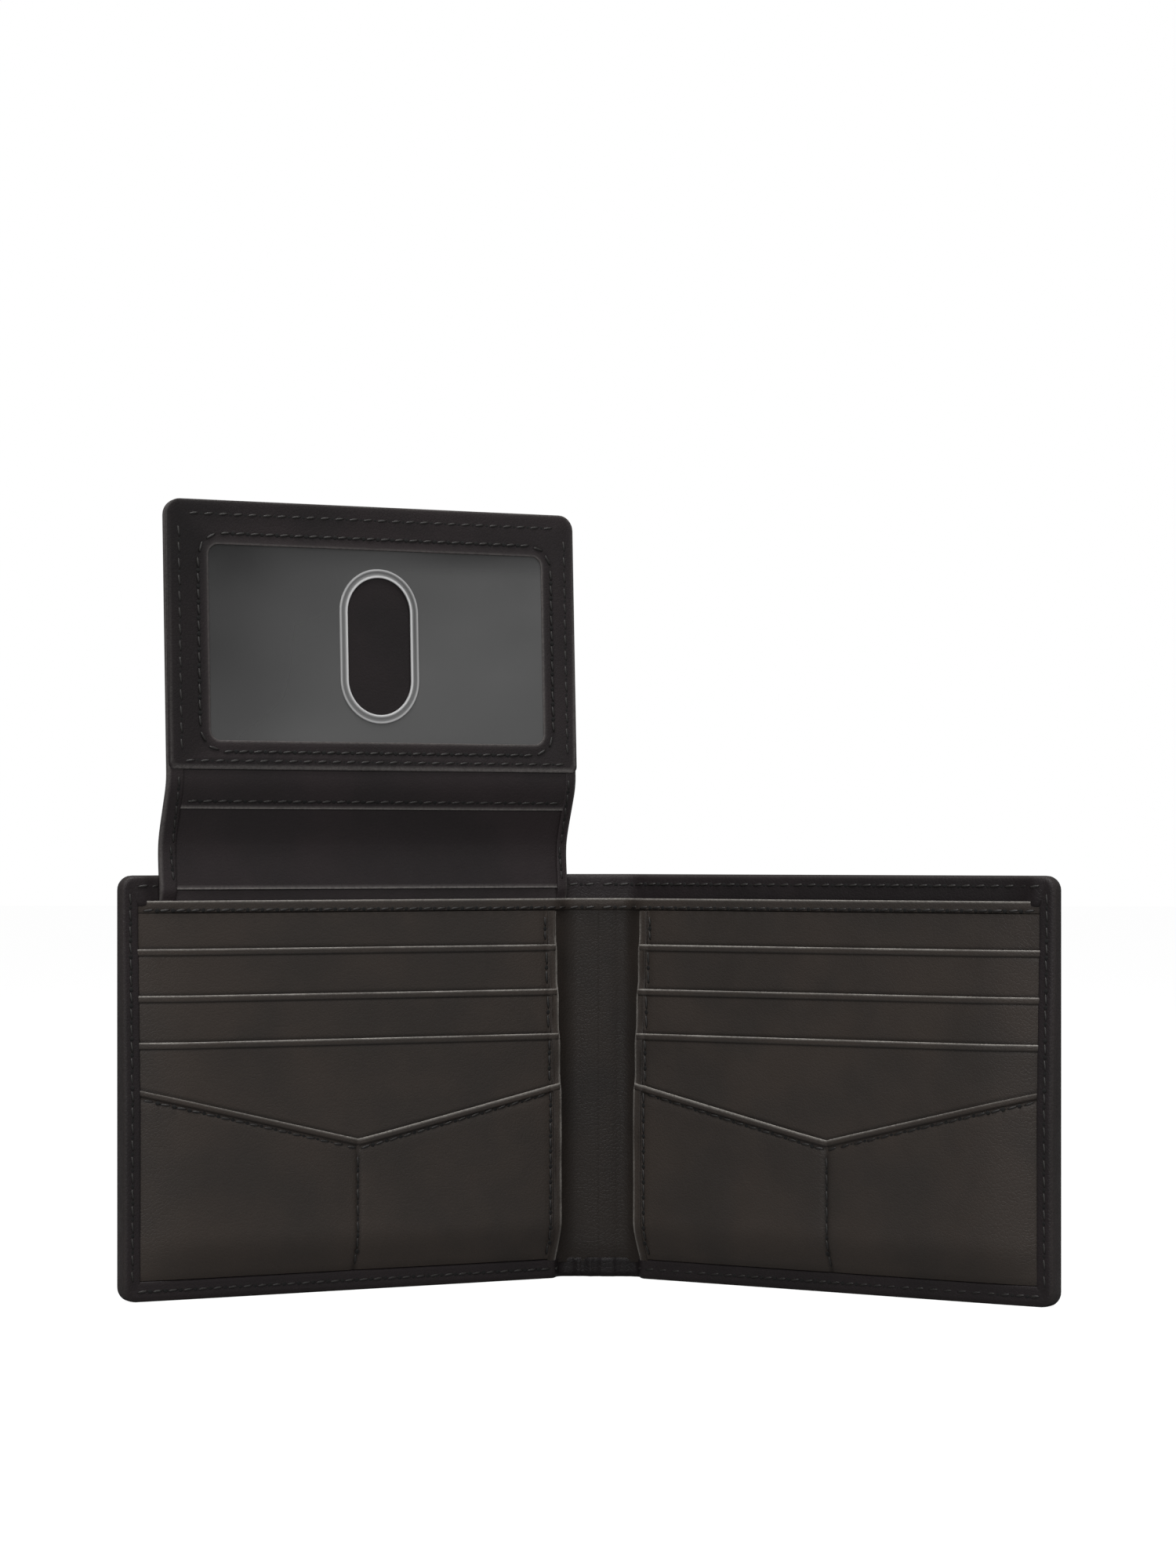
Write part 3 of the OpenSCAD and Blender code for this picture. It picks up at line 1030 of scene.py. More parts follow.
@dataclass
class Stack:
    """Depths of the layers in one cover: how they are pressed together and what marks them."""

    layers: Layers
    notch: Notch
    seed: float
    seam: float = 2.5
    hem_w: float = 1.3
    hem_t: float = 0.2
    groove: float = 0.1
    gape: float = 0.2
    pressed: float = 0.42

    @property
    def start(self) -> float:
        """Return the width at which the stacked pockets begin."""
        return self.layers.crease + self.layers.stack_start

    @property
    def end(self) -> float:
        """Return the width at which the stacked pockets end."""
        return self.layers.crease + self.layers.stack_end

    @property
    def middle(self) -> float:
        """Return the width of the front pocket's middle seam."""
        return (self.start + self.end) / 2

    def squeeze(self, x: float, z: float) -> float:
        """Return the share of its depth that the stack keeps, less near the sewn edges."""
        side = smooth((self.layers.full_w - x) / 15.0)
        foot = smooth(z / 13.0)
        return mix(self.pressed, 1.0, side * foot)

    def sway(self, x: float, z: float, amount: float = 0.12) -> float:
        """Return a slow unevenness of the leather."""
        return amount * wave(x / 31.0, z / 24.0, self.seed)

    def mouth_relief(self, below: float, x: float) -> float:
        """Relief of a pocket's mouth.

        Args:
            below: Distance below the mouth.
            x: Width.

        Returns:
            How far the leather stands out, in millimetres.
        """
        hem = self.hem_t * (1.0 - smooth((below - self.hem_w + 0.1) / 0.3))
        groove = -self.groove * bell(below - self.hem_w - 0.15, 0.2)
        across = (x - self.start) / (self.end - self.start)
        gape = self.gape * math.sin(math.pi * min(1.0, max(0.0, across))) * bell(below, 7.0)
        return hem + groove + gape

    def side_seam(self, x: float) -> float:
        """Return how far the seam beside the spine pulls the leather in."""
        return -0.22 * bell(x - self.start - self.seam, 0.5)

    def slip(self, x: float, z: float) -> float:
        """Return the depth of the panel that carries the pockets."""
        base = self.layers.slip_front * self.squeeze(x, z)
        return base + self.side_seam(x) + self.sway(x, z)

    def pocket(self, number: int, x: float, z: float) -> float:
        """Return the depth of a straight pocket's front; number 0 is the highest."""
        base = self.layers.pocket_fronts[number] * self.squeeze(x, z)
        below = self.layers.pocket_tops[number] - z
        pushed = 0.1 * (number + 1) * smooth((30.0 - z) / 8.0)
        sway = self.sway(x, z + 40 * number)
        return base - pushed + self.mouth_relief(below, x) + self.side_seam(x) + sway

    def notch_line(self, x: float) -> float:
        """Return the height of the notched mouth at a width."""
        if x < self.middle:
            return mix(self.notch.inner, self.notch.low, (x - self.start) / (self.middle - self.start))
        return mix(self.notch.low, self.notch.outer, (x - self.middle) / (self.end - self.middle))

    def notch_below(self, x: float, z: float) -> float:
        """Return the distance from the notched mouth's slanted edge."""
        rise = self.notch.inner - self.notch.low if x < self.middle else self.notch.outer - self.notch.low
        run = (self.end - self.start) / 2
        return (self.notch_line(x) - z) * run / math.hypot(run, rise)

    def front(self, x: float, z: float) -> float:
        """Return the depth of the notched front pocket."""
        kept = self.squeeze(x, z)
        base = self.layers.notch_front * kept
        sunk = -(0.42 * bell(x - self.middle, 0.7) + 0.25 * bell(x - self.middle, 4.0)) * kept
        half = (x - self.start) / (self.end - self.start) * 2.0
        pillow = 0.2 * abs(math.sin(math.pi * half)) * math.sin(math.pi * min(1.0, max(0.0, z / 44.0)))
        below = self.notch_below(x, z)
        mouth = self.mouth_relief(below, x) * (0.65 + 0.35 * smooth(abs(x - self.middle) / 6.0))
        row = -0.14 * bell(below - 2.0, 0.4)
        set_back = 0.12 * smooth((z - 8.0) / 8.0)
        return base - set_back + sunk + pillow + mouth + row + self.side_seam(x) + self.sway(x, z)

    def divider(self, x: float, z: float) -> float:
        """Return the depth of the divider, from the spine strip to the covers."""
        lift = smooth((x - 4.0) / 8.5)
        base = mix(1.2, 3.0 * self.squeeze(x, z), lift)
        band = smooth((z - self.band_low + 0.1) / 0.35)
        sway = self.sway(x, z, 0.1) * lift
        return base + band * mix(0.4, 0.8 * self.squeeze(x, z), lift) + sway

    @property
    def band_low(self) -> float:
        """Return the lower edge of the divider's turned upper hem."""
        return self.layers.divider_top - 2.6

    def outer(self, x: float, z: float) -> float:
        """Return the depth of whatever lies in front at the free edge and along the foot."""
        if x < self.start - 3.0:
            return 0.35
        reach = smooth((x - self.start + 3.0) / 3.5)
        tops = (*self.layers.pocket_tops, self.notch_line(max(self.start, min(x, self.end))))
        steps = (self.layers.slip_front, *self.layers.pocket_fronts, self.layers.notch_front)
        depth = steps[0]
        for top, low, high in zip(tops, steps, steps[1:]):
            depth += (high - low) * smooth((top + 2.0 - z) / 4.0)
        return mix(0.35, depth * self.squeeze(x, z), reach)


@dataclass
class Shell:
    """The outer leather in one piece, with its edge turned in all round."""

    layers: Layers
    stack: Stack
    hem: Hem
    palette: Palette

    def ring(self, p: RimPoint, amount: float) -> Point:
        """Return where a rim point lies on a ring, square in the corners and wider at head and foot.

        Args:
            p: The rim point.
            amount: How far the ring lies in from the sides.

        Returns:
            Its (width, height).
        """
        wide, tall, hem = self.layers.full_w, self.layers.cover_h, self.hem
        x, z = straight_in(p, min(amount, 0.6 * hem.corner))
        edge = min(amount, hem.rolled)
        share = max(0.0, (amount - hem.rolled) / (hem.side - hem.rolled))
        foot = edge + share * (hem.foot - hem.rolled)
        head = edge + share * (hem.head - hem.rolled)
        x = max(amount - wide, min(wide - amount, x))
        return x, max(foot, min(tall - head, z))

    def lip_depth(self, p: RimPoint) -> float:
        """Return the depth of the turned edge's front."""
        inside = 0.6 * self.hem.side
        x = min(abs(p.x), self.layers.full_w - inside)
        z = min(max(p.z, inside), self.layers.cover_h - self.hem.head)
        depth = self.stack.outer(x, z) + self.hem.lap
        if p.z > self.layers.cover_h - TINY:
            return mix(0.85, depth, smooth((abs(p.x) - self.layers.full_w + 9.0) / 5.0))
        if p.z < 1.0:
            spine = 1.0 - smooth((abs(p.x) - 5.0) / 5.0)
            gather = wave(p.x / 1.2, 3.1, 0.4)
            gather += 0.5 * wave(p.x / 0.6, 7.7, 1.3)
            depth += spine * (0.5 + 0.4 * gather)
        return depth

    def section(self, p: RimPoint) -> list[Point]:
        """Return the rings of the turned edge, from the back face round to the inner face."""
        back, depth, width = self.layers.shell_t, self.lip_depth(p), self.hem.side
        under = max(depth - self.hem.leather, 0.02)
        centre = (depth - back) / 2
        return [
            (1.4, -back), (0.9, -back), (0.45, -back + 0.1), (0.14, -back + 0.38), (0.0, -back + 0.85),
            (-0.04, centre), (0.0, depth - 0.85), (0.14, depth - 0.38), (0.45, depth - 0.1), (0.9, depth),
            (self.hem.rolled, depth + 0.02), (width / 2, depth - 0.04), (width - 0.75, depth),
            (width - 0.3, depth - 0.01), (width - 0.08, depth - 0.12), (width, mix(depth, under, 0.5)),
            (width - 0.08, under), (0.75, under), (0.7, 0.0),
        ]

    def flat(self) -> Workpiece:
        """Cut and turn the shell's leather, flat."""
        wide, tall = self.layers.full_w, self.layers.cover_h
        work = Workpiece.rectangle((-wide, 0.0), (wide, tall))
        work.round_corners(self.hem.corner, 7)
        bends = [0.4 * i for i in range(-32, 33)]
        covers = [s * x for x in spaced(12.8, wide - 9.0, 4.4) for s in (-1.0, 1.0)]
        ends = [s * (wide - e) for e in (8.8, 6.8, 5.4, 4.4) for s in (-1.0, 1.0)]
        work.columns([*bends, *covers, *ends])
        work.rows([4.6, 5.6, 7.5, *spaced(9.0, tall - 8.0, 3.4), tall - 7.5, tall - 5.6, tall - 4.6])
        work.turn_edge(-self.layers.shell_t, 0.0, self.section, self.ring)
        for v in work.mesh.verts:
            if abs(v.co.y) > 0.05:
                swell = wave(v.co.x / 34.0, v.co.z / 27.0, 9.2)
                v.co.y += 0.14 * swell * smooth((wide - abs(v.co.x)) / 8.0)
        return work

    def rub(self, x: float, z: float) -> float:
        """Return the pale mark on the shell, most along its folded edges: wear and painted highlight."""
        edge = box_distance(
            x, z, (-self.layers.full_w, 0.0), (self.layers.full_w, self.layers.cover_h), self.hem.corner
        )
        return 0.18 * bell(edge + 0.1, 0.35)

    def spine_foot_shade(self, x: float, z: float) -> float:
        """Return the painted shade on the foot of the spine, where the bunched leather lies in shadow."""
        share = (1.0 - smooth((abs(x) - 6.0) / 4.0)) * (1.0 - smooth((z - self.hem.foot - 0.3) / 0.8))
        return share * (0.92 + 0.08 * wave(x / 0.8, 5.2, 0.3))

    def build(self, covers: Sequence[Cover]) -> None:
        """Make the shell's halves, one for each cover, joined along the middle of the spine."""
        flat = self.flat()
        for cover in covers:
            half = flat.half((0.0, 0.0), (float(cover.side.value), 0.0))
            work = half if cover.side is Side.RIGHT else half.mirrored()
            finish = self.palette.of[Finish.SHELL]
            piece = work.build(f"{cover.prefix}_outer", cover.drape, finish, self.rub, self.spine_foot_shade)
            nodes = [f"{cover.prefix}_{n}" for n in ("shell", "side_hem", "lower_hem")]
            declare(piece, Finish.SHELL, *nodes, "spine_shell", "spine_lower_hem")
            join_at_crease(piece, cover, -0.6)
            self.sew(cover)

    def sew(self, cover: Cover) -> None:
        """Sew the hem all round one cover, on the inside and through to the back."""
        wide, tall = self.layers.full_w, self.layers.cover_h
        side, foot, head = wide - self.hem.side / 2, 2.2, tall - 2.2

        def front(x: float, z: float) -> float:
            """Depth of the turned edge under the row."""
            point = RimPoint(x, 0.0 if z < tall / 2 else tall, 0.0, 1.0)
            if wide - x < 3.0 and 2.5 < z < tall - 2.5:
                point = RimPoint(wide, z, -1.0, 0.0)
            return self.lip_depth(point) - 0.03

        def back(x: float, z: float) -> float:
            """Depth of the shell's outer face."""
            return -self.layers.shell_t

        cuts = [
            ("head", (0.3, head), (side - 1.0, head)),
            ("side", (side, foot + 1.5), (side, head - 1.0)),
            ("foot", (8.4, foot), (side - 0.6, foot)),
        ]
        for place_name, start, end in cuts:
            seam = Seam(f"{cover.prefix}_{place_name}_stitches", cover.drape, self.palette)
            seam.sew(start, end, front, sink=0.04)
            seam.place = lambda x, d, z: cover.drape(x, -d - 2.0 * self.layers.shell_t, z)
            seam.sew(start, end, back, sink=0.04)
            piece = seam.finish()
            join_at_crease(piece, cover, -0.6)
            if place_name == "head":
                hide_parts(f"{cover.prefix}_shell_thread", "spine_shell_thread")
            else:
                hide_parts(f"{cover.prefix}_hem_thread")


def join_at_crease(piece: Piece, cover: Cover, depth: float) -> None:
    """Bake the place of a piece that crosses the crease into its mesh; it is not bound to the spine or its
    cover.
    """
    start = cover.drape(cover.bend_start, depth, CREASE_LEVEL)
    end = cover.drape(cover.bend_end, depth, CREASE_LEVEL)
    cover.body
    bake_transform(piece)


@dataclass
class CoverInside:
    """The divider, the card pockets and the notched pocket of one cover.

    In millimetres, a pocket starts tuck_in from the stack's edge and reaches tuck_out under the shell's hem.
    """

    cover: Cover
    layers: Layers
    stack: Stack
    palette: Palette
    tuck_in: float = 0.3
    tuck_out: float = 0.8

    def name(self, part: str) -> str:
        """Return a piece's or a node's name on this cover."""
        return f"{self.cover.prefix}_{part}"

    def place(self, x: float, depth: float, z: float) -> Vector:
        """Return the place of a point on the stiff part of this cover."""
        return self.cover.turned(x, depth, z, 1.0)

    def columns(self, low: float, high: float) -> list[float]:
        """Return the widths at which every pocket is cut."""
        seam = around(self.stack.start + self.stack.seam, 0.35, 0.8)
        return [*spaced(low, high, 4.3), *seam]

    def line(self) -> None:
        """Make the bill compartment's lining."""
        low, high = (0.0, 3.8), (self.stack.end + 0.6, self.layers.cover_h - 3.2)
        work = Workpiece.rectangle(low, high)
        work.columns([0.8 * i for i in range(1, 16)] + spaced(13.0, self.stack.end, 9.0))
        work.relief(lambda x, z: 0.25)
        work.thicken(THICK.lining)
        piece = work.build(self.name("cloth"), self.cover.drape, self.palette.of[Finish.LINING])
        declare(piece, Finish.LINING, self.name("lining"), "spine_lining")
        flat_size(low, high)
        self.name("outer")
        join_at_crease(piece, self.cover, 0.25)

    def divide(self) -> None:
        """Make the divider in front of the bill compartment, with its share of the spine strip."""
        low, top, foot = self.stack.band_low, self.layers.divider_top, 3.3
        corners = (0.0, foot), (self.stack.end + 1.2, top)
        work = Workpiece.rectangle(*corners)
        bends = [0.5 * i for i in range(1, 28)]
        work.columns([*bends, *spaced(14.0, self.stack.end, 4.3)])
        work.rows([*spaced(foot, low, 5.0), *(low + lift for lift in (-0.4, -0.1, 0.1, 0.3))])
        work.rows([top - drop for drop in (0.9, 0.5, 0.3)])
        work.relief(self.stack.divider)
        work.thicken(THICK.divider)
        work.soften(0.16, 2)

        def rub(x: float, z: float) -> float:
            """Pale mark on the upper edge, and a little on the band's lower edge: wear and painted highlight.
            """
            return bell(top - z, 0.26) + 0.06 * bell(z - low, 0.3)

        def seam(x: float, z: float) -> float:
            """Paint shade along the line under the band, and on the recessed strip beside the spine."""
            strip = 0.85 * (1.0 - smooth((x - 6.0) / 8.0)) * (1.0 - smooth((z - low) / 0.8))
            return strip + 0.6 * bell(z - low + 0.15, 0.25)

        piece = work.build(self.name("divide"), self.cover.drape, self.palette.of[Finish.POCKET], rub, seam)
        declare(piece, Finish.POCKET, self.name("divider"), self.name("divider_hem"), "spine_divider")
        self.name("outer")
        join_at_crease(piece, self.cover, 1.2)
        row = Seam(self.name("divider_stitches"), self.cover.drape, self.palette)
        row.sew((0.2, top - 2.0), (self.stack.end - 0.4, top - 2.0), self.stack.divider, sink=0.02)
        stitched = row.finish()
        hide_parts(self.name("divider_thread"), "spine_divider_thread")
        join_at_crease(stitched, self.cover, 1.2)

    def slip_panel(self) -> None:
        """Make the panel that carries the pockets."""
        low, top = self.layers.stack_low, self.stack.band_low - 0.05
        corners = (self.stack.start, low), (self.stack.end + 0.6, top)
        work = Workpiece.rectangle(*corners)
        work.columns(self.columns(self.stack.start, self.stack.end))
        work.rows([*spaced(low, top, 4.5), top - 0.5])
        self.cut_above(work, 0)
        work.relief(self.stack.slip)
        work.thicken(THICK.slip)
        self.finish_sheet(work, ("slip", "slip_panel"), None, lambda x, z: self.shade_above(0, x, z))

    def above(self, number: int, x: float, z: float) -> float:
        """Return the distance above the mouth of a pocket; the notched one comes after the straight ones."""
        tops = self.layers.pocket_tops
        return z - tops[number] if number < len(tops) else -self.stack.notch_below(x, z)

    def shade_above(self, number: int, x: float, z: float) -> float:
        """Return the darkening of the leather just above the mouth of the next pocket."""
        over = self.above(number, x, z)
        return 0.85 * bell(over - 0.15, 0.42) if over > -1.0 else 0.0

    def cut_above(self, work: Workpiece, number: int) -> None:
        """Cut a sheet along lines just above the mouth of the next pocket."""
        lifts, tops = (-0.3, 0.05, 0.3, 0.6, 1.0), self.layers.pocket_tops
        if number < len(tops):
            work.rows([tops[number] + lift for lift in lifts])
        else:
            self.cut_slants(work, lifts)

    def cut_slants(self, work: Workpiece, lifts: Iterable[float]) -> None:
        """Cut a sheet down its middle and along both slants of the notched mouth.

        Args:
            work: The sheet in the making.
            lifts: Distances of the lines above the mouth; negative below it.
        """
        notch, middle, run = self.stack.notch, self.stack.middle, self.stack.middle - self.stack.start
        work.columns([middle])
        for part, slope in ((-1, (notch.low - notch.inner) / run), (1, (notch.outer - notch.low) / run)):
            for lift in lifts:
                point = (middle, notch.low + lift * math.hypot(1.0, slope))
                work.cut(point, (-slope, 1.0), lambda c, s=part: (c.x - middle) * s > 0)

    def card_pocket(self, number: int) -> None:
        """Make one straight pocket; number 0 is the highest."""
        low, top = self.layers.stack_low, self.layers.pocket_tops[number]
        corners = (self.stack.start + self.tuck_in, low), (self.stack.end + self.tuck_out, top)
        work = Workpiece.rectangle(*corners)
        work.columns(self.columns(self.stack.start, self.stack.end))
        fine = [0.26, 0.5, 0.9, 1.2, 1.35, 1.5, 1.75, 2.4, 3.4]
        work.rows([*spaced(low, top - 3.4, 4.5), *(top - drop for drop in fine)])
        self.cut_above(work, number + 1)
        work.relief(lambda x, z: self.stack.pocket(number, x, z))
        work.thicken(THICK.pocket)
        work.soften(0.15, 2)

        def rub(x: float, z: float) -> float:
            """Pale mark on the mouth's edge: wear and painted highlight."""
            uneven = 0.75 + 0.5 * wave(x / 6.0, number, self.stack.seed)
            return uneven * bell(top - z, 0.24) + 0.08 * bell(top - z - self.stack.hem_w + 0.12, 0.2)

        def seam(x: float, z: float) -> float:
            """Paint shade in the groove under the mouth's hem, and above the next pocket's mouth."""
            groove = bell(top - z - self.stack.hem_w - 0.12, 0.24)
            return min(1.0, groove + self.shade_above(number + 1, x, z))

        self.finish_sheet(work, (f"slot_{number + 1}", f"pocket_{number + 1}"), rub, seam)

    def notched_pocket(self) -> None:
        """Make the front pocket with its notched mouth, halved by its middle seam."""
        stack, notch = self.stack, self.stack.notch
        low, middle = self.layers.stack_low, stack.middle
        start, end = stack.start + self.tuck_in, stack.end + self.tuck_out
        mouth = (end, notch.outer), (middle, notch.low), (start, notch.inner)
        work = Workpiece([(start, low), (end, low), *mouth])
        work.columns([*self.columns(start, end), *around(middle, 0.4, 0.9, 1.6, 3.0)])
        self.cut_slants(work, (-0.28, -0.55, -0.9, -1.2, -1.35, -1.5, -1.7, -2.0, -2.35, -2.8, -3.8))
        work.rows([*spaced(low, low + 13.0, 1.6), *spaced(low + 13.0, notch.low - 4.0, 4.0)])
        work.relief(stack.front)
        work.thicken(THICK.pocket)
        work.soften(0.15, 2)

        def rub(x: float, z: float) -> float:
            """Pale mark on the mouth's edge: wear and painted highlight."""
            return 0.8 * bell(stack.notch_below(x, z), 0.26)

        def seam(x: float, z: float) -> float:
            """Paint shade along the middle seam and in the groove under the hem."""
            groove = bell(stack.notch_below(x, z) - stack.hem_w - 0.12, 0.24)
            return min(1.0, groove + 0.9 * bell(x - middle, 0.55) * smooth((notch.low - 2.0 - z) / 2.0))

        self.finish_sheet(work, ("front", "notch_pocket"), rub, seam)
        drop = 2.0
        row = Seam(self.name("notch_stitches"), self.place, self.palette)
        first = (stack.start + stack.seam + 0.6, notch.inner - drop - 0.2)
        bottom = (middle, notch.low - drop - 0.1)
        row.sew(first, bottom, stack.front, sink=0.02)
        row.sew(bottom, (stack.end, notch.outer - drop), stack.front, sink=0.02)
        self.finish_row(row, "notch_thread")
        row = Seam(self.name("middle_stitches"), self.place, self.palette)
        row.sew((middle, notch.low - 3.2), (middle, low + 0.6), stack.front, slant=4.0)
        self.finish_row(row, "centre_thread")

    def binding(self) -> None:
        """Make the turned edge that closes the stack beside the spine, and its seam."""
        stack = self.stack
        low, top, start = self.layers.stack_low - 0.6, stack.band_low - 0.1, stack.start
        wide = stack.seam - 0.55

        def envelope(x: float, z: float) -> float:
            """Depth of the turned edge, which steps down with the pockets behind it."""
            depth = stack.outer(start + 2.0, z) + 0.12
            rounded = 0.35 * (1.0 - smooth((x - start + 0.4) / 1.1))
            return depth - rounded + stack.sway(x, z * 3.0)

        work = Workpiece.rectangle((start - 0.4, low), (start + wide, top))
        work.columns([start, start + 0.5, start + 1.0, start + wide - 0.3])
        work.rows(spaced(low, top, 1.7))
        work.relief(envelope)
        work.thicken(THICK.binding)
        work.soften(0.3, 3)

        def rub(x: float, z: float) -> float:
            """Pale mark on the edge towards the spine: wear and painted highlight."""
            uneven = 0.6 + 0.5 * wave(z / 5.0, 1.0, stack.seed)
            return uneven * bell(x - start + 0.3, 0.5)

        def seam(x: float, z: float) -> float:
            """Paint shade along the edge beside the seam."""
            return 0.85 * bell(x - start - wide, 0.35)

        piece = work.build(self.name("binding"), self.place, self.palette.of[Finish.POCKET], rub, seam)
        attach(piece, self.cover.body)
        declare(piece, Finish.POCKET)
        row = Seam(self.name("binding_stitches"), self.place, self.palette)
        seam_x = start + stack.seam
        levels = [top, *self.layers.pocket_tops, stack.notch_line(seam_x)]
        for number, (high, lower) in enumerate(zip(levels, levels[1:])):
            depth = stack.slip if number == 0 else lambda x, z, n=number - 1: stack.pocket(n, x, z)
            row.sew((seam_x, high - 0.9), (seam_x, lower + 0.5), depth, slant=4.0, sink=-0.1)
        row.sew((seam_x, levels[-1] - 0.9), (seam_x, low + 1.0), stack.front, slant=4.0, sink=-0.1)
        self.finish_row(row, "stack_thread")

    def finish_row(self, row: Seam, node: str) -> None:
        """Finish a row of stitches that stays on this cover."""
        piece = row.finish()
        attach(piece, self.cover.body)
        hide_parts(self.name(node))

    def finish_sheet(
        self,
        work: Workpiece,
        names: tuple[str, str],
        rub: Optional[Depth],
        seam: Depth,
    ) -> None:
        """Args:
            work: The sheet in the making.
            names: Last parts of the piece's name and of its CAD node's name.
            rub: Gives its pale mark of wear and painted highlight.
            seam: Gives its painted shade.
        """
        piece = work.build(self.name(names[0]), self.place, self.palette.of[Finish.POCKET], rub, seam)
        declare(piece, Finish.POCKET, self.name(names[1]))
        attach(piece, self.cover.body)

    def build(self) -> None:
        """Make everything inside this cover."""
        self.line()
        self.divide()
        self.slip_panel()
        for number in range(len(self.layers.pocket_tops)):
            self.card_pocket(number)
        self.notched_pocket()
        self.binding()


# ---------------------------------------------------------------- window flap


@dataclass(frozen=True)
class FoldPath:
    """The flap's line as seen from its end: where its middle lies at a distance from its root."""

    points: tuple[Point, ...]
    lengths: tuple[float, ...]

    @classmethod
    def through(cls, corners: Sequence[Point], rounds: int = 3) -> "FoldPath":
        """Make a path through (depth, height) points, its corners rounded by cutting them."""
        points = list(corners)
        for _ in range(rounds):
            cut = [points[0]]
            for (a, b), (c, d) in zip(points, points[1:]):
                cut += [(mix(a, c, 0.25), mix(b, d, 0.25)), (mix(a, c, 0.75), mix(b, d, 0.75))]
            points = [*cut, points[-1]]
        lengths = [0.0]
        for first, second in zip(points, points[1:]):
            lengths.append(lengths[-1] + math.dist(first, second))
        return cls(tuple(points), tuple(lengths))

    @property
    def length(self) -> float:
        """Return the path's whole length."""
        return self.lengths[-1]

    def at(self, s: float) -> tuple[float, float, float, float]:
        """Return the depth, height and forward normal's (depth, height) at a distance."""
        number = 0
        while number < len(self.lengths) - 2 and self.lengths[number + 1] < s:
            number += 1
        (a, b), (c, d) = self.points[number], self.points[number + 1]
        run = self.lengths[number + 1] - self.lengths[number]
        share = (s - self.lengths[number]) / run
        along_d, along_z = (c - a) / run, (d - b) / run
        return mix(a, c, share), mix(b, d, share), along_z, -along_d

    def distance(self, height: float) -> float:
        """Return the distance along the path at which it reaches a height."""
        for (a, b), (_, d), s, e in zip(self.points, self.points[1:], self.lengths, self.lengths[1:]):
            if b <= height <= d:
                return mix(s, e, (height - b) / (d - b))
        return self.length


@dataclass(frozen=True)
class Bend:
    """Where the flap bends between two bodies, by the heights of the unbent flap, in millimetres."""

    first: str
    second: str
    low: float
    high: float


# The middle of the flap's thickness from its root to its upper edge, as (depth, height) in millimetres
FLAP_LINE = (
    (1.5, 76.0), (1.45, 84.0), (1.0, 89.0), (0.6, 94.0), (1.1, 97.5), (3.3, 103.5), (5.1, 108.5),
    (4.94, 113.0), (2.9, 168.0),
)
ROOT_BEND = Bend("left_cover", "flap_strip", 82.0, 91.0)
WING_BEND = Bend("flap_strip", "window_wing", 99.0, 109.0)


@dataclass(frozen=True)
class FlapSize:
    """Sizes of the window flap, in millimetres; heights are where the unbent flap stands."""

    start: float = 0.2
    end: float = 97.6
    out_lip: float = 3.7
    in_lip: float = 2.6
    strip_low: float = 86.0
    split: float = 95.5
    second_low: float = 103.2
    frame_low: float = 111.3
    corner: float = 3.4
    window_low: Point = (8.4, 117.4)
    window_high: Point = (87.9, 158.6)
    window_corner: float = 2.3
    hole_w: float = 15.0
    hole_h: float = 29.5
    rim_w: float = 1.9


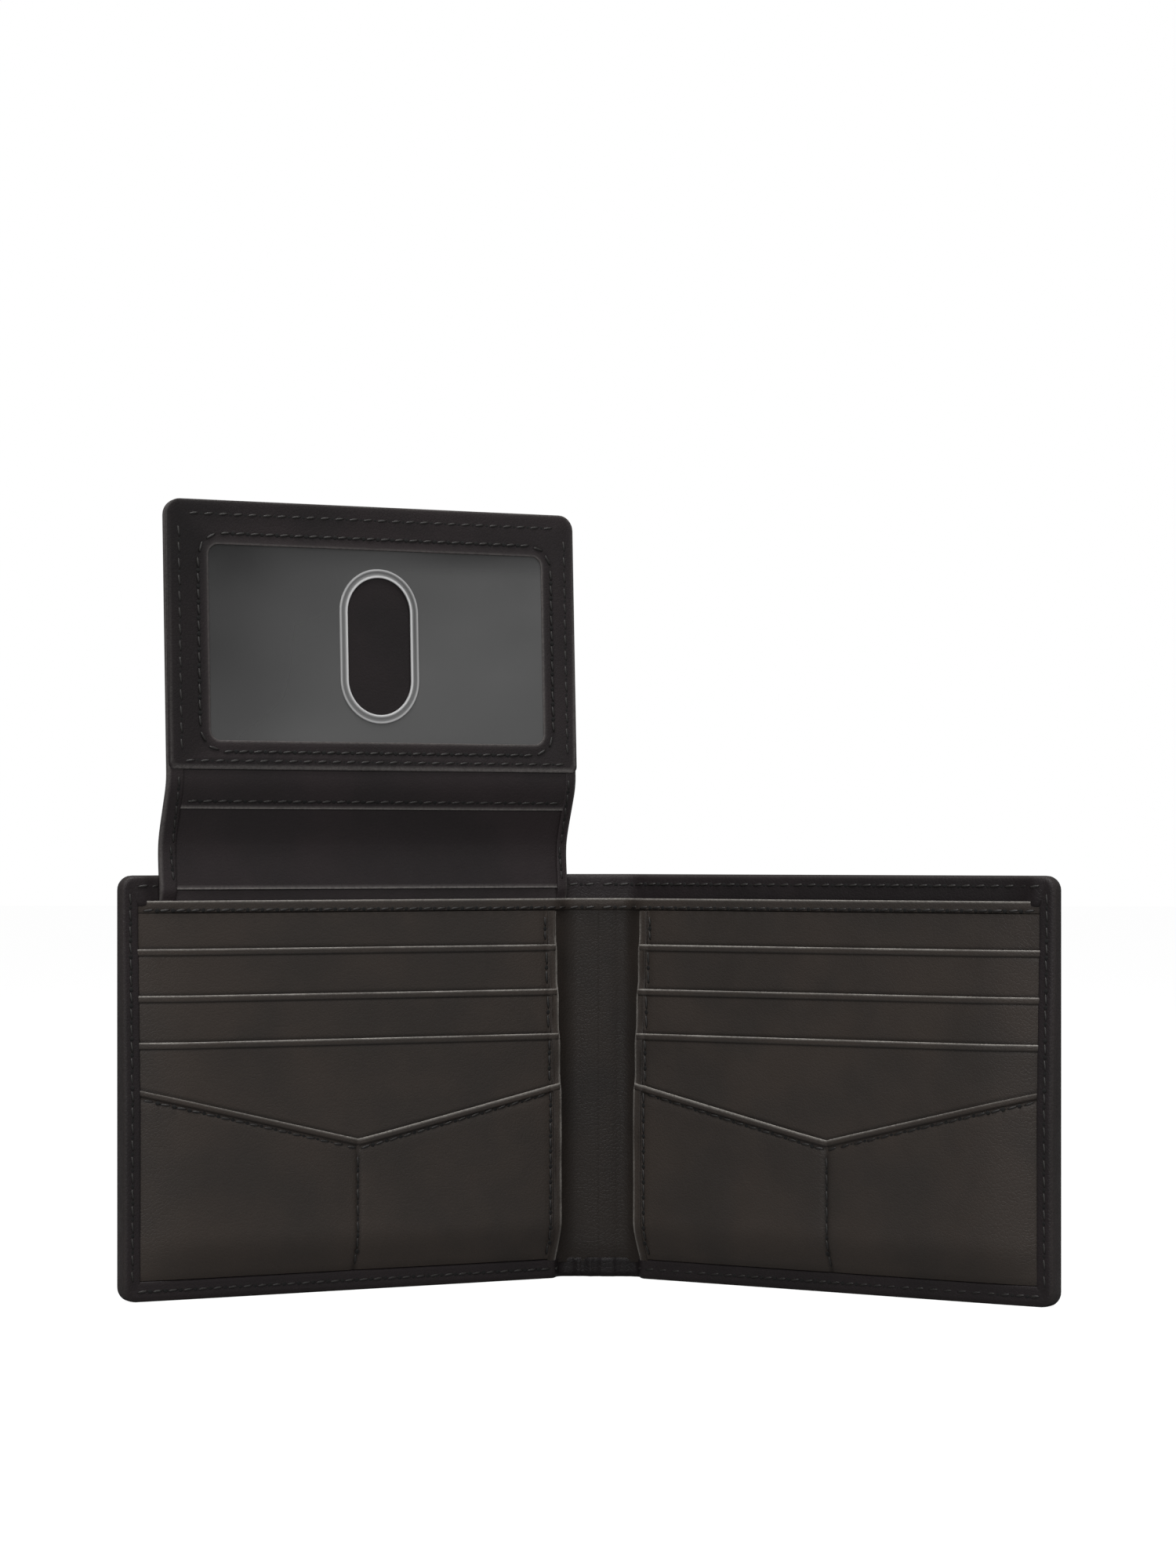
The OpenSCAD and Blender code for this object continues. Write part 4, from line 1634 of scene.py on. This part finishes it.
@dataclass
class Flap:
    """The flap that carries the clear window."""

    cover: Cover
    path: FoldPath
    size: FlapSize
    palette: Palette
    back: float = -0.95
    inner: float = -0.2
    lip: float = 0.72
    front: float = 1.08

    def place(self, u: float, m: float, s: float) -> Vector:
        """Return the place of a point: u from the crease, m in front of the flap's middle, s along it."""
        depth, height, out_d, out_z = self.path.at(s)
        return self.cover.place(u, depth + m * out_d, height + m * out_z)

    def s(self, height: float) -> float:
        """Return the distance along the flap at a height."""
        return self.path.distance(height)

    @property
    def window(self) -> tuple[Point, Point]:
        """Return the window's lowest and highest (u, s) corners."""
        low, high = self.size.window_low, self.size.window_high
        return (low[0], self.s(low[1])), (high[0], self.s(high[1]))

    def sway(self, u: float, s: float, amount: float) -> float:
        """Return a slow unevenness of the leather."""
        return amount * wave(u / 26.0, s / 17.0, 4.4)

    def back_section(self, p: RimPoint) -> list[Point]:
        """Return the rings of the back leather's turned edge."""
        raised = smooth((p.z - self.s(83.5)) / 2.5)
        depth = mix(0.0, self.lip, raised)
        under = max(depth - 0.45, -0.18)
        centre = (self.back + depth) / 2
        wide = self.size.in_lip if p.x < 40.0 else self.size.out_lip
        wide = mix(wide, 2.0, smooth((p.z - self.s(self.size.frame_low + 2.0)) / 6.0))
        return [
            (0.8, self.back), (0.35, self.back + 0.05), (0.1, self.back + 0.25), (0.0, centre),
            (0.1, depth - 0.25), (0.35, depth - 0.05), (0.8, depth), (wide - 0.7, depth + 0.03),
            (wide - 0.25, depth), (wide - 0.04, depth - 0.14), (wide, mix(depth, under, 0.6)),
            (wide - 0.1, under), (0.6, under), (0.55, self.inner),
        ]

    def make_back(self) -> None:
        """Make the back leather with its turned sides, in a lower and an upper part."""
        size, length = self.size, self.path.length
        work = Workpiece.rectangle((size.start, 0.0), (size.end, length - 0.05))
        work.round_corners(size.corner, 6, which=[2, 3])
        work.columns(spaced(size.start + 7.0, size.end - 7.0, 5.0))
        lower = [0.7 * i for i in range(1, int((self.s(113.0)) / 0.7))]
        work.rows([*lower, *spaced(self.s(114.0), length - size.corner, 7.0), length - size.corner])
        work.turn_edge(self.back, self.inner, self.back_section)

        def rub(u: float, s: float) -> float:
            """Pale mark on the outer edge: wear and painted highlight."""
            edge = box_distance(u, s, (size.start, -9.0), (size.end, length), size.corner)
            return 0.3 * bell(edge + 0.1, 0.3)

        for (name, half, bend), node in zip(self.halves(work), ("left_flap_root", "wing_back")):
            piece = half.build(f"flap_{name}_back", self.place, self.palette.of[Finish.FLAP], rub)
            declare(piece, Finish.FLAP, node, "strip_back")
            self.bend(piece, bend)

    def halves(self, work: Workpiece) -> Iterator[tuple[str, Workpiece, Bend]]:
        """Part a piece between the flap's two bends.

        Args:
            work: The closed piece.

        Yields:
            The name, the piece and the bend of its lower and then of its upper half.
        """
        split = (0.0, self.s(self.size.split))
        for name, side, bend in (("lower", -1.0, ROOT_BEND), ("upper", 1.0, WING_BEND)):
            yield name, work.half(split, (0.0, side)), bend

    def bend(self, piece: Piece, bend: Bend) -> None:
        """Bake the place of a piece of the flap into its mesh; it is not bound to the two bodies of its bend.
        """
        start, end = (self.place(48.0, 0.0, self.s(h)) for h in (bend.low, bend.high))
        start.x, start.y = end.x, end.y
        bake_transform(piece)
        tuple(start)
        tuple(end)

    def make_strip(self) -> None:
        """Make the leather on the front of the flap's lower strip."""
        size = self.size
        low, high = self.s(size.strip_low), self.s(size.second_low + 1.5)
        work = Workpiece.rectangle((size.start + 1.2, low), (size.end - 1.4, high))
        work.columns(spaced(size.start, size.end, 5.0))
        work.rows([low + 0.5, low + 1.0, *spaced(low + 1.6, high, 0.8)])
        work.relief(lambda u, s: 0.3 + self.sway(u, s, 0.16))
        work.thicken(THICK.strip)
        work.soften(0.16, 2)

        def rub(u: float, s: float) -> float:
            """Pale mark on the lower edge: wear and painted highlight."""
            return 0.9 * bell(s - low, 0.4)

        def seam(u: float, s: float) -> float:
            """Paint shade on the leather beside the raised turned sides."""
            inner = min(u - size.start - size.in_lip, size.end - size.out_lip - u)
            return 0.6 * bell(inner, 0.5)

        for name, half, bend in self.halves(work):
            piece = half.build(f"flap_strip_{name}", self.place, self.palette.of[Finish.FLAP], rub, seam)
            declare(piece, Finish.FLAP, "strip_front")
            self.bend(piece, bend)

    def make_second(self) -> None:
        """Make the leather behind the window, which reaches down over the strip."""
        size = self.size
        low, high = self.s(size.second_low), self.path.length - 1.2
        work = Workpiece.rectangle((size.start + 0.5, low), (size.end - 1.4, high))
        work.columns(spaced(size.start, size.end, 5.0))
        fine = [0.45, 0.9, 1.3, 1.7, 2.3, 3.0, 3.8, 4.6, 5.4, 6.2, 7.0]
        work.rows([*(low + lift for lift in fine), *spaced(low + 8.0, high, 5.0)])
        work.relief(lambda u, s: 0.56 + self.sway(u, s, 0.1) + 0.1 * (1.0 - smooth((s - low) / 1.5)))
        work.thicken(THICK.panel)
        work.soften(0.2, 3)

        def rub(u: float, s: float) -> float:
            """Pale mark on the lower edge: wear and painted highlight."""
            return 0.9 * bell(s - low, 0.4)

        def seam(u: float, s: float) -> float:
            """Darken the leather where it lies shaded behind the film."""
            return 0.6 * smooth(-box_distance(u, s, *self.window, 3.0) / 2.0)

        piece = work.build("flap_second", self.place, self.palette.of[Finish.FLAP], rub, seam)
        declare(piece, Finish.FLAP, "wing_front")
        self.bend(piece, WING_BEND)
        row = Seam("second_stitches", self.place, self.palette)
        level = low + 1.7
        row.sew((size.start + 3.2, level), (size.end - 4.4, level), lambda u, s: 0.58, sink=0.02)
        self.bend(row.finish(), WING_BEND)

    def make_frame(self) -> None:
        """Make the leather frame around the window, with its seams."""
        size, (low, high) = self.size, self.window
        foot, top, gap = self.s(size.frame_low), self.path.length, 2.4
        outer = (size.start + 0.05, foot), (size.end - 0.05, top)
        loops = [rounded_loop(grown(outer, -g), (1.3, size.corner - g), 8) for g in (0.0, 0.5, 1.2, 2.2)]
        for g in (3.3, 2.4, 1.3, 0.6, 0.0):
            loops.append(rounded_loop(grown((low, high), g), (size.window_corner + g,) * 2, 8))
        work = Workpiece.between(loops)
        work.relief(lambda u, s: self.front - 0.16 * bell(box_distance(u, s, low, high, 3.0) - 2.4, 0.9))
        work.thicken(THICK.panel)
        work.soften(0.2, 3)

        def rub(u: float, s: float) -> float:
            """Pale mark on the window's edge, the lower edge and the outer edge: wear and painted highlight.
            """
            opening = bell(box_distance(u, s, low, high, size.window_corner) - 0.1, 0.35)
            edge = box_distance(u, s, *outer, size.corner)
            return min(1.0, 0.3 * opening + 0.3 * bell(edge + 0.1, 0.3) + 0.55 * bell(s - foot, 0.3))

        def seam(u: float, s: float) -> float:
            """Paint shade along the two rows of stitches, and a broad painted shade on the frame's outer
            side.
            """
            inner = bell(box_distance(u, s, low, high, size.window_corner) - gap, 0.9)
            side = min(u - size.start, size.end - u) - 2.6
            outer_side_shade = 0.68 * smooth((u - high[0] + 1.0) / 4.0)
            return min(1.0, outer_side_shade + 0.55 * inner + 0.3 * bell(side, 0.8) + 0.3 * bell(top - s - 3.0, 0.7))

        piece = work.build("window_leather", self.place, self.palette.of[Finish.FLAP], rub, seam)
        declare(piece, Finish.FLAP, "window_frame")
        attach(piece, "window_wing")

        def flat(u: float, s: float) -> float:
            """Depth of the frame's front under a seam."""
            return self.front - 0.06

        inside, outside = size.start + 2.4, size.end - 3.0
        loop = rounded_loop(grown((low, high), gap), (size.window_corner + gap,) * 2, 2)
        rows = [
            ("window_stitches", "window_thread", list(zip(loop, loop[1:] + loop[:1]))),
            ("edge_stitches", "wing_edge_thread", [
                ((inside, foot + 3.4), (inside, top - 5.2)),
                ((inside + 2.2, top - 3.0), (outside - 1.8, top - 3.0)),
                ((outside, foot + 3.4), (outside, top - 5.2)),
            ]),
            ("foot_stitches", "wing_foot_thread", [
                ((inside + 0.2, foot + 1.75), (outside - 0.2, foot + 1.75)),
            ]),
        ]
        for name, node, cuts in rows:
            row = Seam(name, self.place, self.palette)
            for start, end in cuts:
                row.sew(start, end, flat, sink=0.02)
            stitched = row.finish()
            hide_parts(node)
            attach(stitched, "window_wing")

    def make_film(self) -> None:
        """Make the clear film with its thumb hole."""
        size, (low, high) = self.size, self.window
        centre_u, centre_s, radius = (low[0] + high[0]) / 2, (low[1] + high[1]) / 2, size.hole_w / 2 - 0.01
        hole = (
            (centre_u - size.hole_w / 2, centre_s - size.hole_h / 2),
            (centre_u + size.hole_w / 2, centre_s + size.hole_h / 2),
        )
        loops = [rounded_loop(grown((low, high), 1.0), (3.4, 3.4), 12)]
        loops += [rounded_loop(grown(hole, g), (radius + g, radius + g), 12) for g in (4.0, 1.0, 0.0)]
        work = Workpiece.between(loops)
        work.columns(spaced(low[0], high[0], 5.0))
        work.rows([*spaced(low[1], high[1] - 7.0, 5.0), *(high[1] - lift for lift in (5.0, 3.5, 2.0, 1.0))])
        work.relief(lambda u, s: self.lip + 0.1)
        work.thicken(THICK.film)

        def haze_and_reflection(u: float, s: float) -> float:
            """Make the film paler grey towards the spine and the foot, cloudiness with painted reflection,
            and darker under the frame's top, a painted shadow.
            """
            spread = smooth((high[0] - u) / 58.0 + 0.5 * (high[1] - s) / (high[1] - low[1]) - 0.06)
            patch = 0.5 + 0.5 * wave(u / 17.0 + s / 30.0, s / 11.0, 2.6)
            return mix(0.2 * patch, 0.6 + 0.4 * patch, spread) * (1.0 - 0.7 * bell(high[1] - s, 4.0))

        piece = work.build("window_sheet", self.place, self.palette.of[Finish.FILM], haze_and_reflection)
        declare(piece, Finish.FILM, "window_film")
        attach(piece, "window_wing")
        self.make_rim(hole, radius)

    def make_rim(self, hole: tuple[Point, Point], radius: float) -> None:
        """Make the welded rim of the thumb hole.

        Args:
            hole: Lowest and highest (u, s) corners of the hole.
            radius: Radius of the hole's rounded ends.
        """
        rim = Workpiece.rectangle(*hole)
        rim.round_corners(radius, 14)
        border = list(rim.mesh.edges)
        points = rim.rim_of(border)
        base, wide = self.lip + 0.06, self.size.rim_w
        bmesh.ops.delete(rim.mesh, geom=rim.mesh.faces[:], context="FACES_ONLY")
        for v in points:
            v.co.y = -base
        profile = [
            (0.03, 0.14), (0.0, 0.26), (-0.2, 0.34), (-0.42, 0.3), (-0.6, 0.2), (-0.95, 0.15),
            (-wide + 0.6, 0.2), (-wide + 0.42, 0.28), (-wide + 0.2, 0.32), (-wide + 0.02, 0.22), (-wide, 0.0),
            (0.0, 0.0),
        ]
        rim.grow(border, points, lambda p: [(a, base + d) for a, d in profile])
        bmesh.ops.remove_doubles(rim.mesh, verts=rim.mesh.verts[:], dist=MERGED)

        def ridge_highlight(u: float, s: float) -> float:
            """Paint highlights on the rim's two ridges."""
            out = box_distance(u, s, *hole, radius)
            return min(1.0, bell(out - 0.22, 0.3) + 0.6 * bell(out - wide + 0.25, 0.26))

        ring = rim.build("hole_rim", self.place, self.palette.of[Finish.RIM], ridge_highlight)
        declare(ring, Finish.RIM, "thumb_rim")
        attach(ring, "window_wing")

    def sew_sides(self) -> None:
        """Sew the turned sides below the frame."""
        size = self.size
        low, split, top = self.s(87.5), self.s(size.split), self.s(size.frame_low) - 1.0
        columns = (size.start + 1.5, size.start + 2.0), (size.end - 2.9, size.end - 2.4)

        def flat(u: float, s: float) -> float:
            """Depth of the turned sides."""
            return self.lip - 0.02

        for name, start, end, bend in (("lower", low, split, ROOT_BEND), ("upper", split, top, WING_BEND)):
            row = Seam(f"strip_{name}_stitches", self.place, self.palette, pitch=3.1)
            for first, second in columns:
                row.sew((first, start), (second, end), flat, slant=4.0)
            stitched = row.finish()
            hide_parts("strip_thread")
            self.bend(stitched, bend)

    def build(self) -> None:
        """Make the whole flap."""
        self.make_back()
        self.make_strip()
        self.make_second()
        self.make_frame()
        self.make_film()
        self.sew_sides()


# ---------------------------------------------------------------- studio


@dataclass(frozen=True)
class Lamp:
    """One soft rectangular lamp, in metres and watts."""

    name: str
    at: tuple[float, float, float]
    towards: tuple[float, float, float]
    size: tuple[float, float]
    power: float

    def build(self) -> None:
        """Hang the lamp."""
        data = bpy.data.lights.new(self.name, "AREA")
        data.shape = "RECTANGLE"
        data.size, data.size_y = self.size
        data.energy = self.power
        lamp = bpy.data.objects.new(self.name, data)
        lamp.location = self.at
        aim = Vector(self.towards) - Vector(self.at)
        lamp.rotation_euler = aim.to_track_quat("-Z", "Y").to_euler()
        bpy.context.scene.collection.objects.link(lamp)


@dataclass(frozen=True)
class Studio:
    """The pale floor, the light and the camera.

    The camera's eye is in metres, its turn in degrees, its lens in millimetres and its shift in frames.
    """

    eye: tuple[float, float, float] = (0.0414, -0.8686, 0.0943)
    turn: float = 2.79
    lens: float = 93.3
    sensor: float = 36.0
    shift: float = 0.04225

    def build(self) -> None:
        """Set up everything around the wallet."""
        self.floor()
        self.world()
        Lamp("front", (-0.28, -1.6, 0.8), (0.0, 0.0, 0.07), (1.2, 0.6), 14.3).build()
        Lamp("top", (0.0, -0.2, 1.0), (0.0, 0.0, 0.06), (0.9, 0.4), 8.0).build()
        Lamp("side", (0.9, -0.5, 0.35), (0.0, 0.0, 0.08), (0.4, 0.5), 0.8).build()
        self.camera()
        bpy.context.scene.view_settings.view_transform = "Standard"

    def floor(self) -> None:
        """Lay a large pale floor, which throws little light back onto the dark leather."""
        mesh = bmesh.new()
        bmesh.ops.create_grid(mesh, x_segments=1, y_segments=1, size=6.0)
        material, tree, shader = new_material("floor")
        seen = tree.nodes.new("ShaderNodeLightPath").outputs["Is Camera Ray"]
        tree.links.new(seen, shader.inputs["Emission Strength"])
        shader.inputs["Emission Color"].default_value = (0.92, 0.92, 0.92, 1.0)
        shader.inputs["Base Color"].default_value = (0.25, 0.25, 0.25, 1.0)
        shader.inputs["Roughness"].default_value = 0.9
        finish_mesh(mesh, "floor", [material])

    def world(self) -> None:
        """Show a white surrounding that lights everything only dimly."""
        world = bpy.data.worlds.new("studio")
        bpy.context.scene.world = world
        world.use_nodes = True
        tree = world.node_tree
        seen = tree.nodes.new("ShaderNodeLightPath").outputs["Is Camera Ray"]
        tint = blended(tree, seen, (0.2, 0.2, 0.2), (1.0, 1.0, 1.0))
        tree.links.new(tint, tree.nodes["Background"].inputs["Color"])

    def camera(self) -> None:
        """Stand the camera where it looks into the open covers."""
        data = bpy.data.cameras.new("camera")
        data.lens = self.lens
        data.sensor_width = self.sensor
        data.shift_y = self.shift
        camera = bpy.data.objects.new("camera", data)
        camera.location = self.eye
        camera.rotation_euler = (math.radians(90.0), 0.0, math.radians(self.turn))
        bpy.context.scene.collection.objects.link(camera)
        bpy.context.scene.camera = camera


# ---------------------------------------------------------------- the whole wallet


@dataclass
class Wallet:
    """The whole wallet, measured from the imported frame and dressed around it."""

    frame: dict
    palette: Palette

    def cover(self, side: Side) -> Cover:
        """Measure where a cover stands, from its hinge and the flap's hinge."""
        joints = {j["name"]: j for j in self.frame["joints"]}
        prefix = side.name.lower()
        pivot = joints[f"{prefix}_fold"]["pos_m"]
        along = joints["flap_flip"]["axis"]
        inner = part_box("spine_shell")[0].y
        return Cover(side, abs(pivot[0]) / MM, pivot[1] / MM, inner / MM, math.atan2(along[1], along[0]))

    def layers(self, cover: Cover) -> Layers:
        """Measure the layers of one cover."""

        def span(part: str) -> tuple[Vector, Vector]:
            """Box of one of the cover's nodes, in its own directions."""
            return local_box(cover, bpy.data.objects[f"{cover.prefix}_{part}"])

        shell_low, shell_high = span("shell")
        slip_low, slip_high = span("slip_panel")
        pockets = [span(f"pocket_{n}")[1] for n in (1, 2, 3)]
        return Layers(
            crease=cover.crease,
            cover_w=shell_high.x,
            cover_h=shell_high.z,
            shell_t=-shell_low.y,
            divider_top=span("divider")[1].z,
            stack_start=slip_low.x,
            stack_end=slip_high.x,
            stack_low=slip_low.z,
            slip_front=slip_high.y,
            pocket_fronts=tuple(p.y for p in pockets),
            pocket_tops=tuple(p.z for p in pockets),
            notch_front=span("notch_pocket")[1].y,
        )

    def build(self) -> None:
        """Make every piece."""
        covers = [self.cover(side) for side in Side]
        layers = [self.layers(c) for c in covers]
        stacks = [Stack(m, Notch(), seed=3.3 * c.side.value + 5.0) for c, m in zip(covers, layers)]
        Shell(layers[1], stacks[1], Hem(), self.palette).build(covers)
        for cover, measured, stack in zip(covers, layers, stacks):
            CoverInside(cover, measured, stack, self.palette).build()
        Flap(covers[0], FoldPath.through(FLAP_LINE), FlapSize(), self.palette).build()


def main() -> None:
    """Load the frame, dress it and set up the studio."""
    logging.basicConfig(level=logging.INFO, format="%(message)s")
    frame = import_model()
    Wallet(frame, Palette()).build()
    Studio().build()


if __name__ == "__main__":
    main()
